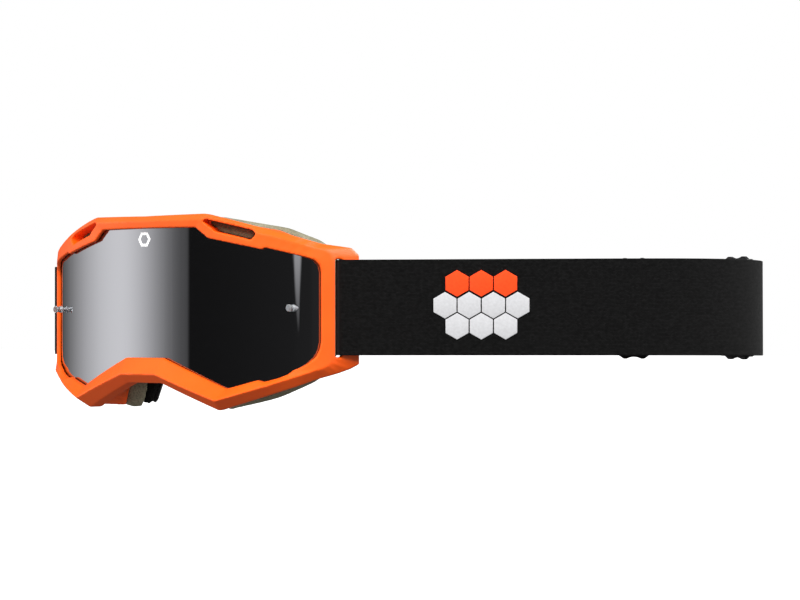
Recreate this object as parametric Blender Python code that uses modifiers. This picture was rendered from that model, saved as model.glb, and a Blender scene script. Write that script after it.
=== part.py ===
"""Motocross goggles: a two-part orange frame round a mirror lens, three layers of face foam,
vent foams, tear-off posts, and an elastic strap of two bands joined by two sliders.

Frame of the part: the wearer looks along -Y, +Z is up, and the origin is the middle of the face
seal, level with the strap. So +X is the wearer's left. Outlines of the front are given as (s, z):
s runs sideways along the curved face of the goggles and z is height. d is depth behind that face.
All sizes are in millimetres.
"""
import math

import bmesh
import bpy
from mathutils import Vector

MM = 0.001
GAP = 0.35                      # clearance between pieces that touch

# The curved face, seen from above: a wide arc, a tighter turn, then the straight outrigger.
FACE_RADIUS = 130.0
FACE_ARC = 76.0
TURN_RADIUS = 35.0
OUTRIGGER_ANGLE = math.radians(50.0)
FACE_FRONT_Y = -36.0            # the middle of the face, ahead of the origin

# Depths behind the curved face.
SHOULDER_D = 2.2                # back of the lip that the lens rests against
LENS_D = 2.55
LENS_THICKNESS = 1.0
GROOVE_PLAY = 0.8               # round the lens and the rim behind it, in the front's groove
PLUG_D = 3.9                    # front of the rear frame's rim, behind the lens
FRONT_BACK_D = 8.0
BAR_BACK_D = 5.6                # the back of the front frame at the strap bar
BAR_BLEND_S = (92.0, 100.0)     # where the back steps from one to the other
SHELF_D = FRONT_BACK_D + 0.8    # clear of the front, whose back is slightly twisted
WALL = 2.2

# The face side of the rear frame, seen from above.
SEAL_RADIUS = 120.0
SEAL_FRONT_Y = -14.0
FLANGE_THICKNESS = 2.0

# Face foam: thickness of each layer, and how far it swells past the flange.
FOAM_BASE = 8.0
FOAM_MIDDLE = 4.6
FLEECE = 2.2
FOAM_SWELL = 1.4
FOAM_GAP = 0.7                  # between layers, whose faces are slightly twisted
NOSE_LEAN = 0.6                 # how far the foam leans in towards the nose for each mm of depth
BACK_INSET = 2.4                # of the two layers on the face side, except beside the nose
NOSE_X = (28.0, 34.0)           # where that inset starts

MAX_STEP = 6.0                  # longest facet along an outline

# One row for each corner of the right half, from the top of the brow round to the nose.
# lip: edge of the lens opening. seat: groove that holds the lens. ridge: crest of the front
# face, with its depth. edge: outer edge of the front, with its depth. seal and eye: outer and
# inner edge of the face foam, seen along Y.
CORNERS = [
    # lip            seat           ridge                edge                 seal           eye
    ((0, 38.6),      (0, 41.2),     (0, 42.0, -1.0),     (0, 44.4, 0.3),      (0, 44.2),     (0, 33.0)),
    ((28.6, 38.5),   (29.8, 41.0),  (31.5, 42.0, -1.0),  (33.5, 45.0, 0.3),   (26.0, 43.0),  (24.5, 32.0)),
    ((35.0, 33.3),   (35.8, 34.9),  (38.5, 39.6, -0.8),  (41.0, 43.2, 0.4),   (36.0, 41.2),  (32.0, 30.0)),
    ((61.5, 27.7),   (61.8, 29.4),  (64.0, 34.4, 0.0),   (66.0, 36.9, 2.0),   (53.5, 38.0),  (47.0, 27.0)),
    ((63.0, 28.6),   (63.5, 30.9),  (66.0, 34.1, 0.1),   (68.5, 36.2, 2.2),   (56.0, 37.4),  (49.0, 26.2)),
    ((84.0, 23.7),   (85.2, 26.4),  (87.0, 28.4, 0.6),   (91.0, 30.6, 3.2),   (68.0, 31.9),  (58.0, 21.2)),
    ((87.0, 22.6),   (88.6, 25.1),  (91.0, 27.8, 0.5),   (100.0, 29.5, 2.8),  (71.2, 29.2),  (60.0, 19.2)),
    ((89.4, 20.2),   (91.6, 21.8),  (94.0, 26.2, 0.2),   (105.8, 28.7, 2.5),  (72.6, 25.6),  (61.6, 17.0)),
    ((90.1, 17.0),   (92.4, 17.6),  (95.0, 23.5, 0.0),   (109.5, 25.2, 2.2),  (75.4, 18.5),  (63.6, 12.6)),
    ((90.1, 0),      (92.4, 0),     (95.0, 0, 0.0),      (109.5, 0, 2.2),     (76.5, 0),     (64.5, 0)),
    ((90.1, -16.0),  (92.4, -16.8), (95.0, -23.5, 0.0),  (109.5, -26.8, 2.2), (75.4, -17.5), (63.6, -12.4)),
    ((89.2, -20.0),  (91.5, -21.6), (94.4, -25.8, -0.1), (105.4, -29.0, 2.8), (73.4, -22.5), (62.4, -16.0)),
    ((87.4, -23.2),  (89.4, -25.4), (93.0, -27.4, -0.2), (100.0, -30.9, 3.4), (71.2, -26.2), (60.8, -18.6)),
    ((83.2, -26.4),  (84.9, -28.9), (90.0, -28.7, -0.4), (96.5, -31.9, 3.6),  (70.2, -29.9), (59.2, -20.8)),
    ((79.6, -28.2),  (80.8, -30.8), (88.0, -29.2, -0.5), (93.0, -32.8, 3.8),  (68.2, -32.4), (57.6, -22.6)),
    ((76.3, -29.4),  (77.4, -32.1), (86.0, -29.6, -0.6), (90.0, -33.6, 4.0),  (66.2, -34.2), (56.0, -24.0)),
    ((73.8, -31.3),  (74.4, -33.2), (83.0, -30.6, -1.0), (86.5, -34.6, 3.8),  (64.4, -35.3), (54.4, -25.0)),
    ((69.1, -33.1),  (69.2, -35.0), (77.0, -32.4, -1.2), (80.0, -36.6, 3.5),  (60.8, -37.2), (51.6, -26.4)),
    ((62.5, -34.8),  (62.6, -36.9), (68.0, -35.2, -2.3), (71.0, -39.2, 3.0),  (54.2, -40.5), (47.0, -28.8)),
    ((59.4, -34.0),  (59.2, -37.8), (63.0, -36.8, -3.2), (66.0, -40.8, 2.7),  (51.1, -41.8), (45.0, -29.8)),
    ((44.3, -38.1),  (44.2, -41.4), (40.5, -43.6, -7.0), (40.4, -48.5, 1.3),  (32.0, -47.8), (39.0, -34.8)),
    ((11.2, -23.6),  (9.8, -26.8),  (9.8, -31.4, -5.6),  (10.0, -35.7, 0.3),  (27.0, -33.5), (32.5, -22.5)),
    ((0, -23.6),     (0, -26.8),    (0, -31.4, -5.6),    (0, -35.7, 0.3),     (0, -25.6),    (0, -14.6)),
]
LIP, SEAT, RIDGE, EDGE, SEAL, EYE = range(6)

# Brow vent, as (s, z) on one half, with the depths that its cutter and its foam span.
BROW_VENT = [(32.2, 41.6), (34.6, 42.3), (56.8, 37.0), (58.8, 35.1), (56.2, 32.3), (38.8, 36.4)]
BROW_VENT_CENTRE = (46.5, 37.2)
BROW_CUT_D = (-6.0, 13.7)
BROW_FOAM_D = (6.3, 9.3)

# Vent slots in the walls of the rear frame: stretches of s on one half, and depths.
UPPER_SLOTS = [(39.0, 49.0), (52.0, 62.0)]
LOWER_SLOTS = [(46.0, 55.0), (58.0, 67.0)]
UPPER_SLOT_Z = (30.0, 60.0)
LOWER_SLOT_Z = (-60.0, -33.0)
SLOT_D = (11.6, 15.2)
SLOT_FOAM_SHARES = (0.3, 0.85)  # how far back along the wall the foam behind the slots lies
SLOT_FOAM = 2.2
SLOT_FOAM_CLEAR = 1.1

# Strap, and its slot in the outrigger.
STRAP_HEIGHT = 45.4
STRAP_THICKNESS = 1.6
LAYER_PITCH = STRAP_THICKNESS + 0.3
SLOT_S = (97.0, 100.6)
SLOT_HEIGHT = 46.8
STRAP_Z = -0.4                  # height of the loop's middle, round the helmet
NEAR_Z = 0.27                   # and near the outrigger on the wearer's left
NEAR_Z_SPAN = (70.0, 130.0)     # Y over which the near half goes from one to the other
BAR_END_S = 109.5
BAR_FRONT_D = (0.64, 2.2)       # of the bar at the slot and at its outer end
WRAP_RADIUS = GAP + STRAP_THICKNESS / 2 + 0.05

# Route of the strap, seen from above: the near half bows out to a bend, the far half is straight.
BEND_CENTRE = Vector((223.2, 108.5))
BEND_RADIUS = 31.0              # between the two layers
BEND_START = math.radians(100.0)
BEND_END = math.radians(196.0)
NEAR_HEADING = math.radians(27.0)
NEAR_HANDLES = (104.0, 40.0)
TEMPLE_RADIUS = 26.0
SEWN_LENGTH = 26.0              # each band's end, turned back round the outrigger and sewn
SLIDER_A_HEADING = math.radians(160.0)
SLIDER_B_RUN = 34.0             # from the end of the bend to slider B, along the straight

# Sliders: three upright bars between two lugs.
SLIDER_WIDTH = 14.4
SLIDER_HALF_HEIGHT = 25.4
SLIDER_Z = 0.0
LUG_INNER_Z = STRAP_HEIGHT / 2 + 0.6
LUG_BASE_RISE = 0.4             # the lugs' full depth ends here, and only a thin crest goes on
LUG_CREST = 1.3                 # half the crest's depth
LUG_HOLLOW = 0.95               # between the crest's two points
BAR_WIDTH = 3.2
BAR_DEPTH = 1.7
LAYERS_HALF = LAYER_PITCH / 2 + STRAP_THICKNESS / 2 + GAP
LUG_PROUD = 0.3                 # how far the lugs stand proud of the bars

# Tear-off posts, parallel to Y. Distances along a post are from the lens's front at its axis.
POST_S = 77.6
POST_RADIUS = 1.0
POST_HEAD_RADIUS = 1.7
POST_HEAD_HEIGHT = 1.2
POST_STAND = 6.4                # how far the head's face stands out of the lens
COLLAR_RADIUS = 1.7
COLLAR_FRONT = -2.6
COLLAR_BACK = -1.65             # clear of the lens, which slopes away from square
CAP_RADIUS = 2.2
CAP_FRONT = 3.3
CAP_HEIGHT = 1.1
POST_HOLE_RADIUS = POST_RADIUS + GAP
POST_SIDES = 20

# Badge on the near band: cells of a honeycomb, as (column, row).
CELL_RADIUS = 6.6
BADGE_RUN = 66.0                # from the outrigger to the badge's middle, along the strap
BADGE_Z = 0.93
BADGE_THICKNESS = 0.5
ORANGE_CELLS = [(-1.0, 1), (0.0, 1), (1.0, 1)]
GREY_CELLS = [(-1.5, 0), (-0.5, 0), (0.5, 0), (1.5, 0), (-1.0, -1), (0.0, -1), (1.0, -1)]
CELL_PARTING = 0.4              # between the orange and the grey cells

# Silicone grip lines on the inner side of the near half.
GRIP_WIDTH = 2.6
GRIP_THICKNESS = 0.5
GRIP_RUN = (50.0, 150.0)
GRIP_HEIGHTS = {"upper": 13.0, "middle": 0.0, "lower": -13.0}

ORANGE = (1.0, 0.127, 0.014)
BLACK = (0.008, 0.008, 0.009)
FOAM_GREY = (0.25, 0.24, 0.19)


# ---- collections, materials and bodies ---------------------------------------------------------

def clear_scene():
    for obj in list(bpy.data.objects):
        bpy.data.objects.remove(obj, do_unlink=True)


def collection(name):
    made = bpy.data.collections.new(name)
    bpy.context.scene.collection.children.link(made)
    return made


def material(name, colour, roughness, metallic=0.0, transmission=0.0):
    made = bpy.data.materials.new(name)
    made.use_nodes = True
    shader = made.node_tree.nodes["Principled BSDF"]
    shader.inputs["Base Color"].default_value = (*colour, 1.0)
    shader.inputs["Roughness"].default_value = roughness
    shader.inputs["Metallic"].default_value = metallic
    shader.inputs["Transmission Weight"].default_value = transmission
    return made


def add_object(name, shape, finish, group):
    mesh = bpy.data.meshes.new(name)
    bmesh.ops.recalc_face_normals(shape, faces=shape.faces)
    shape.to_mesh(mesh)
    shape.free()
    obj = bpy.data.objects.new(name, mesh)
    if finish:
        obj.data.materials.append(finish)
    group.objects.link(obj)
    return obj


def loft(name, loops, finish, group, closed):
    """A body lofted through like loops of points: a closed ring, or a bar with two flat ends."""
    shape = bmesh.new()
    rings = [[shape.verts.new(point) for point in loop] for loop in loops]
    count = len(rings[0])
    joins = list(zip(rings, rings[1:]))
    if closed:
        joins.append((rings[-1], rings[0]))
    else:
        shape.faces.new(rings[0])
        shape.faces.new(rings[-1])
    for here, after in joins:
        for index in range(count):
            follow = (index + 1) % count
            shape.faces.new((here[index], here[follow], after[follow], after[index]))
    return add_object(name, shape, finish, group)


def cut(obj, tool):
    """Cuts tool out of obj, and keeps tool as a hidden guide."""
    modifier = obj.modifiers.new(tool.name, "BOOLEAN")
    modifier.operation = "DIFFERENCE"
    modifier.solver = "EXACT"
    modifier.object = tool
    tool.hide_render = True
    tool.display_type = "WIRE"


def join(obj, tool):
    """Joins tool to obj, and keeps tool as a hidden guide."""
    cut(obj, tool)
    obj.modifiers[-1].operation = "UNION"


def side_word(side):
    """+X is the wearer's left."""
    return "left" if side > 0 else "right"


# ---- the curved face and the outlines ----------------------------------------------------------

def face_plan(s, d):
    """X and Y of the point at s along the curved face and d behind it."""
    side = -1.0 if s < 0 else 1.0
    along = abs(s)
    arc_angle = FACE_ARC / FACE_RADIUS
    angle = along / FACE_RADIUS
    x = FACE_RADIUS * math.sin(min(angle, arc_angle))
    y = FACE_RADIUS * (1.0 - math.cos(min(angle, arc_angle)))
    if along > FACE_ARC:
        turn_end = FACE_ARC + (OUTRIGGER_ANGLE - arc_angle) * TURN_RADIUS
        angle = min(arc_angle + (along - FACE_ARC) / TURN_RADIUS, OUTRIGGER_ANGLE)
        straight = max(along - turn_end, 0.0)
        x += TURN_RADIUS * (math.sin(angle) - math.sin(arc_angle)) + straight * math.cos(angle)
        y += TURN_RADIUS * (math.cos(arc_angle) - math.cos(angle)) + straight * math.sin(angle)
    return side * (x - d * math.sin(angle)), y + d * math.cos(angle) + FACE_FRONT_Y


def on_face(s, z, d):
    x, y = face_plan(s, d)
    return Vector((x, y, z)) * MM


def on_seal(x, z, depth):
    """A point behind the rear frame's flange, whose back follows its own wide arc."""
    arc = SEAL_FRONT_Y + SEAL_RADIUS - math.sqrt(SEAL_RADIUS ** 2 - x * x)
    return Vector((x, arc + depth, z)) * MM


def towards(point, target, distance):
    """point, an outline's (s, z), moved by distance towards target."""
    share = distance / math.dist(point[:2], target[:2])
    return tuple(p + (q - p) * share for p, q in zip(point[:2], target[:2]))


def full_rows():
    """The corners with points between them, down the left half and back up the right half."""
    rows = []
    for first, second in zip(CORNERS, CORNERS[1:]):
        longest = max(math.dist(first[column][:2], second[column][:2]) for column in (LIP, EDGE))
        steps = math.ceil(longest / MAX_STEP)
        for step in range(steps):
            share = step / steps
            pairs = [zip(a, b) for a, b in zip(first, second)]
            rows.append([tuple(p + (q - p) * share for p, q in pair) for pair in pairs])
    rows.append([tuple(point) for point in CORNERS[-1]])
    other_half = [[(-point[0], *point[1:]) for point in row] for row in reversed(rows[1:-1])]
    return rows + other_half


def face_prism(name, outline, side, depths, finish, group):
    """A prism through the curved face, square to it."""
    loops = [[on_face(side * s, z, d) for s, z in outline] for d in depths]
    return loft(name, loops, finish, group, closed=False)


# ---- frame and lens ----------------------------------------------------------------------------

def back_depth(s):
    share = (abs(s) - BAR_BLEND_S[0]) / (BAR_BLEND_S[1] - BAR_BLEND_S[0])
    share = min(max(share, 0.0), 1.0)
    return FRONT_BACK_D + (BAR_BACK_D - FRONT_BACK_D) * share


def back_bend(row):
    """A point between the edge and the seat, where the back of the bar meets the back."""
    (s1, z1), (s2, z2) = row[EDGE][:2], row[SEAT]
    share = max((abs(s1) - BAR_BLEND_S[1]) / max(abs(s1) - abs(s2), 1.0), 0.1)
    s = s1 + (s2 - s1) * share
    return on_face(s, z1 + (z2 - z1) * share, back_depth(s))


def strap_slot(side, cutters):
    half = SLOT_HEIGHT / 2
    outline = [(SLOT_S[0], -half), (SLOT_S[1], -half), (SLOT_S[1], half), (SLOT_S[0], half)]
    return face_prism(f"strap_slot_{side_word(side)}", outline, side, BROW_CUT_D, None, cutters)


def brow_vent(side, cutters):
    return face_prism(f"brow_vent_{side_word(side)}", BROW_VENT, side, BROW_CUT_D, None, cutters)


def make_front_frame(rows, vents, parts, cutters):
    loops = [
        [on_face(*row[LIP], 0.0) for row in rows],
        [on_face(*row[RIDGE]) for row in rows],
        [on_face(*row[EDGE]) for row in rows],
        [on_face(*row[EDGE][:2], back_depth(row[EDGE][0])) for row in rows],
        [back_bend(row) for row in rows],
        [on_face(*row[SEAT], FRONT_BACK_D) for row in rows],
        [on_face(*row[SEAT], SHOULDER_D) for row in rows],
        [on_face(*row[LIP], SHOULDER_D) for row in rows],
    ]
    finish = material("orange_front_frame", ORANGE, 0.42)
    frame = loft("front_frame", loops, finish, parts, closed=True)
    for side in (1, -1):
        cut(frame, strap_slot(side, cutters))
        cut(frame, vents[side])


def shelf_point(row):
    """Outer edge of the rear frame behind the front: clear of the strap's slot."""
    s, z = towards(row[EDGE], row[SEAT], 1.4)
    limit = SLOT_S[0] - 2.6
    return max(min(s, limit), -limit), z


def vent_slot(name, side, stretch, heights, cutters):
    corners = [(stretch[0], SLOT_D[0]), (stretch[1], SLOT_D[0]),
               (stretch[1], SLOT_D[1]), (stretch[0], SLOT_D[1])]
    loops = [[on_face(side * s, z, d) for s, d in corners] for z in heights]
    return loft(name, loops, None, cutters, closed=False)


def wall_front(row):
    """Inner side of the rear frame's wall, at the front."""
    return on_face(*towards(row[SEAT], row[LIP], GROOVE_PLAY), SHELF_D + WALL)


def wall_back(row):
    """Inner side of the rear frame's wall, at the flange."""
    return on_seal(*towards(row[SEAL], row[EYE], WALL), -FLANGE_THICKNESS)


def make_rear_frame(rows, vents, parts, cutters):
    plug_outer = [towards(row[SEAT], row[LIP], GROOVE_PLAY) for row in rows]
    plug_inner = [towards(row[LIP], row[SEAT], 0.2) for row in rows]
    loops = [
        [on_face(*point, PLUG_D) for point in plug_inner],
        [on_face(*point, PLUG_D) for point in plug_outer],
        [on_face(*point, SHELF_D) for point in plug_outer],
        [on_face(*shelf_point(row), SHELF_D) for row in rows],
        [on_seal(*row[SEAL], -FLANGE_THICKNESS) for row in rows],
        [on_seal(*row[SEAL], 0.0) for row in rows],
        [on_seal(*row[EYE], 0.0) for row in rows],
        [on_seal(*row[EYE], -FLANGE_THICKNESS) for row in rows],
        [wall_back(row) for row in rows],
        [wall_front(row) for row in rows],
        [on_face(*point, SHELF_D + WALL) for point in plug_inner],
    ]
    finish = material("orange_rear_frame", ORANGE, 0.5)
    frame = loft("rear_frame", loops, finish, parts, closed=True)
    for side in (1, -1):
        cut(frame, vents[side])
        for number, stretch in enumerate(UPPER_SLOTS, 1):
            name = f"upper_slot_{side_word(side)}_{number}"
            cut(frame, vent_slot(name, side, stretch, UPPER_SLOT_Z, cutters))
        for number, stretch in enumerate(LOWER_SLOTS, 1):
            name = f"lower_slot_{side_word(side)}_{number}"
            cut(frame, vent_slot(name, side, stretch, LOWER_SLOT_Z, cutters))


def outline_span(outline, s):
    """Lowest and highest z of a closed (s, z) outline at s."""
    heights = []
    for (s1, z1), (s2, z2) in zip(outline, outline[1:] + outline[:1]):
        if s1 != s2 and (s1 - s) * (s2 - s) <= 0.0:
            heights.append(z1 + (z2 - z1) * (s - s1) / (s2 - s1))
    return min(heights), max(heights)


def make_lens(rows, parts, cutters):
    """A sheet of upright strips, with a hole for each tear-off post."""
    outline = [towards(row[SEAT], row[LIP], GROOVE_PLAY) for row in rows]
    stations = sorted({round(point[0], 3) for point in outline})
    loops = []
    for s in stations:
        low, high = outline_span(outline, s)
        back = LENS_D + LENS_THICKNESS
        loops.append([on_face(s, low, LENS_D), on_face(s, high, LENS_D),
                      on_face(s, high, back), on_face(s, low, back)])
    finish = material("mirror_lens", (0.62, 0.63, 0.65), 0.06, metallic=1.0)
    lens = loft("lens", loops, finish, parts, closed=False)
    for side in (1, -1):
        hole = post_turning(f"post_hole_{side_word(side)}", side,
                            [(POST_HOLE_RADIUS, -4.0), (POST_HOLE_RADIUS, 6.0)], None, cutters)
        cut(lens, hole)


# ---- tear-off posts ----------------------------------------------------------------------------

def post_spoke(side, radius, depth, angle):
    """A point round a post's axis, depth behind the lens's front."""
    spot = on_face(side * POST_S, 0.0, LENS_D) / MM
    spot += Vector((radius * math.cos(angle), depth, radius * math.sin(angle)))
    return spot * MM


def post_turning(name, side, profile, finish, group):
    """A turned piece on a post's axis: (radius, depth) pairs, from front to back."""
    angles = [2.0 * math.pi * step / POST_SIDES for step in range(POST_SIDES)]
    loops = [[post_spoke(side, radius, depth, angle) for angle in angles] for radius, depth in profile]
    return loft(name, loops, finish, group, closed=False)


def make_posts(parts):
    clear = material("clear_polycarbonate", (0.85, 0.87, 0.88), 0.08, transmission=0.9)
    head = -POST_STAND
    neck = head + POST_HEAD_HEIGHT
    end = CAP_FRONT + CAP_HEIGHT + 0.4
    for side in (1, -1):
        post = [(POST_HEAD_RADIUS - 0.4, head), (POST_HEAD_RADIUS, head + 0.4),
                (POST_HEAD_RADIUS, neck - 0.2), (POST_RADIUS, neck + 0.3),
                (POST_RADIUS, COLLAR_FRONT - 0.4), (COLLAR_RADIUS, COLLAR_FRONT),
                (COLLAR_RADIUS, COLLAR_BACK), (POST_RADIUS, COLLAR_BACK + 0.02), (POST_RADIUS, end)]
        post_turning(f"tear_off_post_{side_word(side)}", side, post, clear, parts)
        make_cap(side, clear, parts)


def make_cap(side, clear, parts):
    """The ring behind the lens that holds the post."""
    back = CAP_FRONT + CAP_HEIGHT
    bore = POST_HOLE_RADIUS
    ring = [(bore, CAP_FRONT), (CAP_RADIUS, CAP_FRONT), (CAP_RADIUS, back - 0.3),
            (CAP_RADIUS - 0.3, back), (bore, back)]
    loops = []
    for step in range(POST_SIDES):
        angle = 2.0 * math.pi * step / POST_SIDES
        loops.append([post_spoke(side, radius, depth, angle) for radius, depth in ring])
    loft(f"post_cap_{side_word(side)}", loops, clear, parts, closed=True)


# ---- foams -------------------------------------------------------------------------------------

def past_nose(row):
    """0 beside the nose, 1 on the rest of the face foam."""
    x, z = row[SEAL]
    if z > 0.0:
        return 1.0
    return min(max((abs(x) - NOSE_X[0]) / (NOSE_X[1] - NOSE_X[0]), 0.0), 1.0)


def foam_point(row, column, depth, swell):
    """A point of the face foam: swell moves it away from the opposite edge of the foam."""
    other = EYE if column == SEAL else SEAL
    x, z = towards(row[column], row[other], -swell)
    below_eye = min(max((-z - 24.0) / 8.0, 0.0), 1.0)
    beside_nose = min(abs(x) / 16.0, 1.0) * min(max((46.0 - abs(x)) / 12.0, 0.0), 1.0)
    lean = math.copysign(NOSE_LEAN * depth * below_eye * beside_nose, x)
    return on_seal(x - lean, z, 0.0) + Vector((0.0, depth, 0.0)) * MM


def foam_ring(name, rows, front, thickness, swells, inset, finish, parts):
    """One layer of face foam. swells: at its front, middle and back, past the flange's edges.
    inset: how much narrower its outer edge is away from the nose."""
    depths = (front, front + thickness / 2, front + thickness)
    stations = list(zip(depths, swells))
    loops = []
    for depth, swell in stations:
        loops.append([foam_point(row, SEAL, depth, swell - inset * past_nose(row)) for row in rows])
    for depth, swell in reversed(stations):
        loops.append([foam_point(row, EYE, depth, swell / 2) for row in rows])
    loft(name, loops, finish, parts, closed=True)


def make_face_foam(rows, parts):
    foam = material("grey_foam", FOAM_GREY, 0.95)
    black_foam = material("black_foam", BLACK, 0.95)
    fleece = material("black_fleece", BLACK, 1.0)
    front = GAP
    foam_ring("face_foam_base", rows, front, FOAM_BASE, (0.2, FOAM_SWELL, 0.8), 0.0, foam, parts)
    front += FOAM_BASE + FOAM_GAP
    swells = (0.8, FOAM_SWELL, 0.8)
    foam_ring("face_foam_middle", rows, front, FOAM_MIDDLE, swells, BACK_INSET, black_foam,
              parts)
    front += FOAM_MIDDLE + FOAM_GAP
    foam_ring("face_fleece", rows, front, FLEECE, (0.8, 0.4, -1.4), BACK_INSET, fleece,
              parts)


def make_vent_foams(rows, parts):
    foam = material("vent_foam", FOAM_GREY, 0.95)
    shrunk = [towards(point, BROW_VENT_CENTRE, 1.3) for point in BROW_VENT]
    for side in (1, -1):
        name = f"brow_vent_foam_{side_word(side)}"
        face_prism(name, shrunk, side, BROW_FOAM_D, foam, parts)
        upper = [row for row in rows if 37.0 < side * row[RIDGE][0] < 66.5 and row[RIDGE][1] > 0]
        lower = [row for row in rows if 42.0 < side * row[RIDGE][0] < 70.0 and row[RIDGE][1] < 0]
        slot_foam(f"upper_slot_foam_{side_word(side)}", upper, -1.0, foam, parts)
        slot_foam(f"lower_slot_foam_{side_word(side)}", lower, 1.0, foam, parts)


def slot_foam(name, rows, inwards, foam, parts):
    """A strip glued inside the wall, behind its vent slots."""
    loops = []
    for row in rows:
        front = wall_front(row)
        back = wall_back(row)
        near = front.lerp(back, SLOT_FOAM_SHARES[0]) + Vector((0, 0, inwards * SLOT_FOAM_CLEAR)) * MM
        far = front.lerp(back, SLOT_FOAM_SHARES[1]) + Vector((0, 0, inwards * SLOT_FOAM_CLEAR)) * MM
        thick = Vector((0, 0, inwards * SLOT_FOAM)) * MM
        loops.append([near, far, far + thick, near + thick])
    loft(name, loops, foam, parts, closed=False)


# ---- strap -------------------------------------------------------------------------------------

def heading(angle):
    return Vector((math.cos(angle), math.sin(angle)))


def beside(angle):
    """The outer side of the loop for a strap that runs along angle."""
    return Vector((math.sin(angle), -math.cos(angle)))


def arc_points(centre, radius, start, end, steps):
    """Points of an arc, by the strap's heading from start to end."""
    angles = [start + (end - start) * step / steps for step in range(steps + 1)]
    return [centre + beside(angle) * radius for angle in angles]


def bar_wrap(front_angle):
    """Round the strap bar, in (s, d): along its back, through the slot and over its front corner.
    front_angle is the strap's direction as it leaves the corner, from the outrigger's own."""
    corner = Vector((SLOT_S[1], BAR_FRONT_D[0]))
    back_corner = Vector((SLOT_S[1], BAR_BACK_D))
    path = [Vector((BAR_END_S + 0.4, BAR_BACK_D + WRAP_RADIUS + 0.3))]
    for degrees in (90.0, 120.0, 150.0, 180.0):
        spoke = heading(math.radians(degrees))
        path.append(back_corner + spoke * WRAP_RADIUS)
    leave = math.degrees(front_angle) + 270.0
    for share in (0.0, 0.34, 0.67, 1.0):
        spoke = heading(math.radians(180.0 + (leave - 180.0) * share))
        path.append(corner + spoke * WRAP_RADIUS)
    return path


def spread(points, step):
    """The same line with a point at least every step."""
    line = [points[0]]
    for here, after in zip(points, points[1:]):
        pieces = max(1, math.ceil((after - here).length / step))
        line.extend(here.lerp(after, index / pieces) for index in range(1, pieces + 1))
    return line


def shifted(points, distance):
    """The line moved sideways, towards the outer side of the loop."""
    moved = []
    for index, point in enumerate(points):
        ahead = points[min(index + 1, len(points) - 1)] - points[max(index - 1, 0)]
        moved.append(point + Vector((ahead.y, -ahead.x)).normalized() * distance)
    return moved


def run_length(points):
    return sum((after - here).length for here, after in zip(points, points[1:]))


def stretch(points, start, end):
    """The part of a line between two distances along it."""
    kept = []
    travelled = 0.0
    for here, after in zip(points, points[1:]):
        length = (after - here).length
        for mark in (start, end):
            if travelled < mark < travelled + length:
                kept.append((mark, here.lerp(after, (mark - travelled) / length)))
        travelled += length
        if start < travelled < end:
            kept.append((travelled, after))
    return [point for _, point in sorted(kept, key=lambda item: item[0])]


def near_curve():
    """Centre of the near half, from the outrigger's slot to the start of the bend."""
    wrap = bar_wrap(NEAR_HEADING - OUTRIGGER_ANGLE)
    start = Vector(face_plan(*wrap[-1]))
    finish = BEND_CENTRE + beside(BEND_START) * (BEND_RADIUS + LAYER_PITCH / 2)
    first = start + heading(NEAR_HEADING) * NEAR_HANDLES[0]
    second = finish - heading(BEND_START) * NEAR_HANDLES[1]
    steps = 34
    curve = []
    for step in range(steps + 1):
        t = step / steps
        curve.append(start * (1 - t) ** 3 + first * 3 * t * (1 - t) ** 2
                     + second * 3 * t * t * (1 - t) + finish * t ** 3)
    return wrap, curve


def left_route():
    """The near band, from its sewn end round the bar and the bend to the bend's end."""
    wrap, curve = near_curve()
    inner = shifted(stretch(curve, 16.0, 16.0 + SEWN_LENGTH), -LAYER_PITCH)
    around = [Vector(face_plan(*point)) for point in wrap]
    bend = arc_points(BEND_CENTRE, BEND_RADIUS + LAYER_PITCH / 2, BEND_START, BEND_END, 18)
    return list(reversed(inner)) + around[:-1] + curve[:-1] + bend


def far_line_point(run, offset):
    """A point of the straight far half, run mm past the end of the bend."""
    side = BEND_RADIUS + offset
    return BEND_CENTRE + beside(BEND_END) * side + heading(BEND_END) * run


def right_route():
    """The far band, from its sewn end round the bar and the temple to the end of the bend."""
    bar_slope = math.atan2(BAR_FRONT_D[1] - BAR_FRONT_D[0], BAR_END_S - SLOT_S[1])
    wrap = bar_wrap(bar_slope)
    bar_end = Vector((BAR_END_S, BAR_FRONT_D[1]))
    leave = math.degrees(math.radians(90.0) - OUTRIGGER_ANGLE) + 270.0
    for share in (0.0, 0.5, 1.0):
        angle = math.degrees(bar_slope) + 270.0
        spoke = heading(math.radians(angle + (leave - angle) * share))
        wrap.append(bar_end + spoke * WRAP_RADIUS)
    around = [Vector(face_plan(-s, d)) for s, d in wrap]
    # The strap runs straight back from the bar, then turns onto the line of the far half.
    away = BEND_END - math.pi
    x = around[-1].x
    foot = far_line_point(0.0, -LAYER_PITCH / 2)
    turn_x = x + TEMPLE_RADIUS
    run = (turn_x - TEMPLE_RADIUS * math.sin(away) - foot.x) / math.cos(away)
    centre_y = foot.y + run * math.sin(away) - TEMPLE_RADIUS * math.cos(away)
    turn = []
    for step in range(13):
        angle = math.pi / 2 + (away - math.pi / 2) * step / 12
        turn.append(Vector((turn_x, centre_y)) - beside(angle) * TEMPLE_RADIUS)
    inner_x = x + LAYER_PITCH
    inner = [Vector((inner_x, around[-1].y + distance)) for distance in (SEWN_LENGTH + 8.0, 8.0)]
    return inner + around + turn + [foot]


def near_level(point):
    """Height of the middle of the near half of the strap."""
    share = (point.y - NEAR_Z_SPAN[0]) / (NEAR_Z_SPAN[1] - NEAR_Z_SPAN[0])
    share = min(max(share, 0.0), 1.0)
    return NEAR_Z + (STRAP_Z - NEAR_Z) * share * share * (3.0 - 2.0 * share)


def far_level(_point):
    return STRAP_Z


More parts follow.
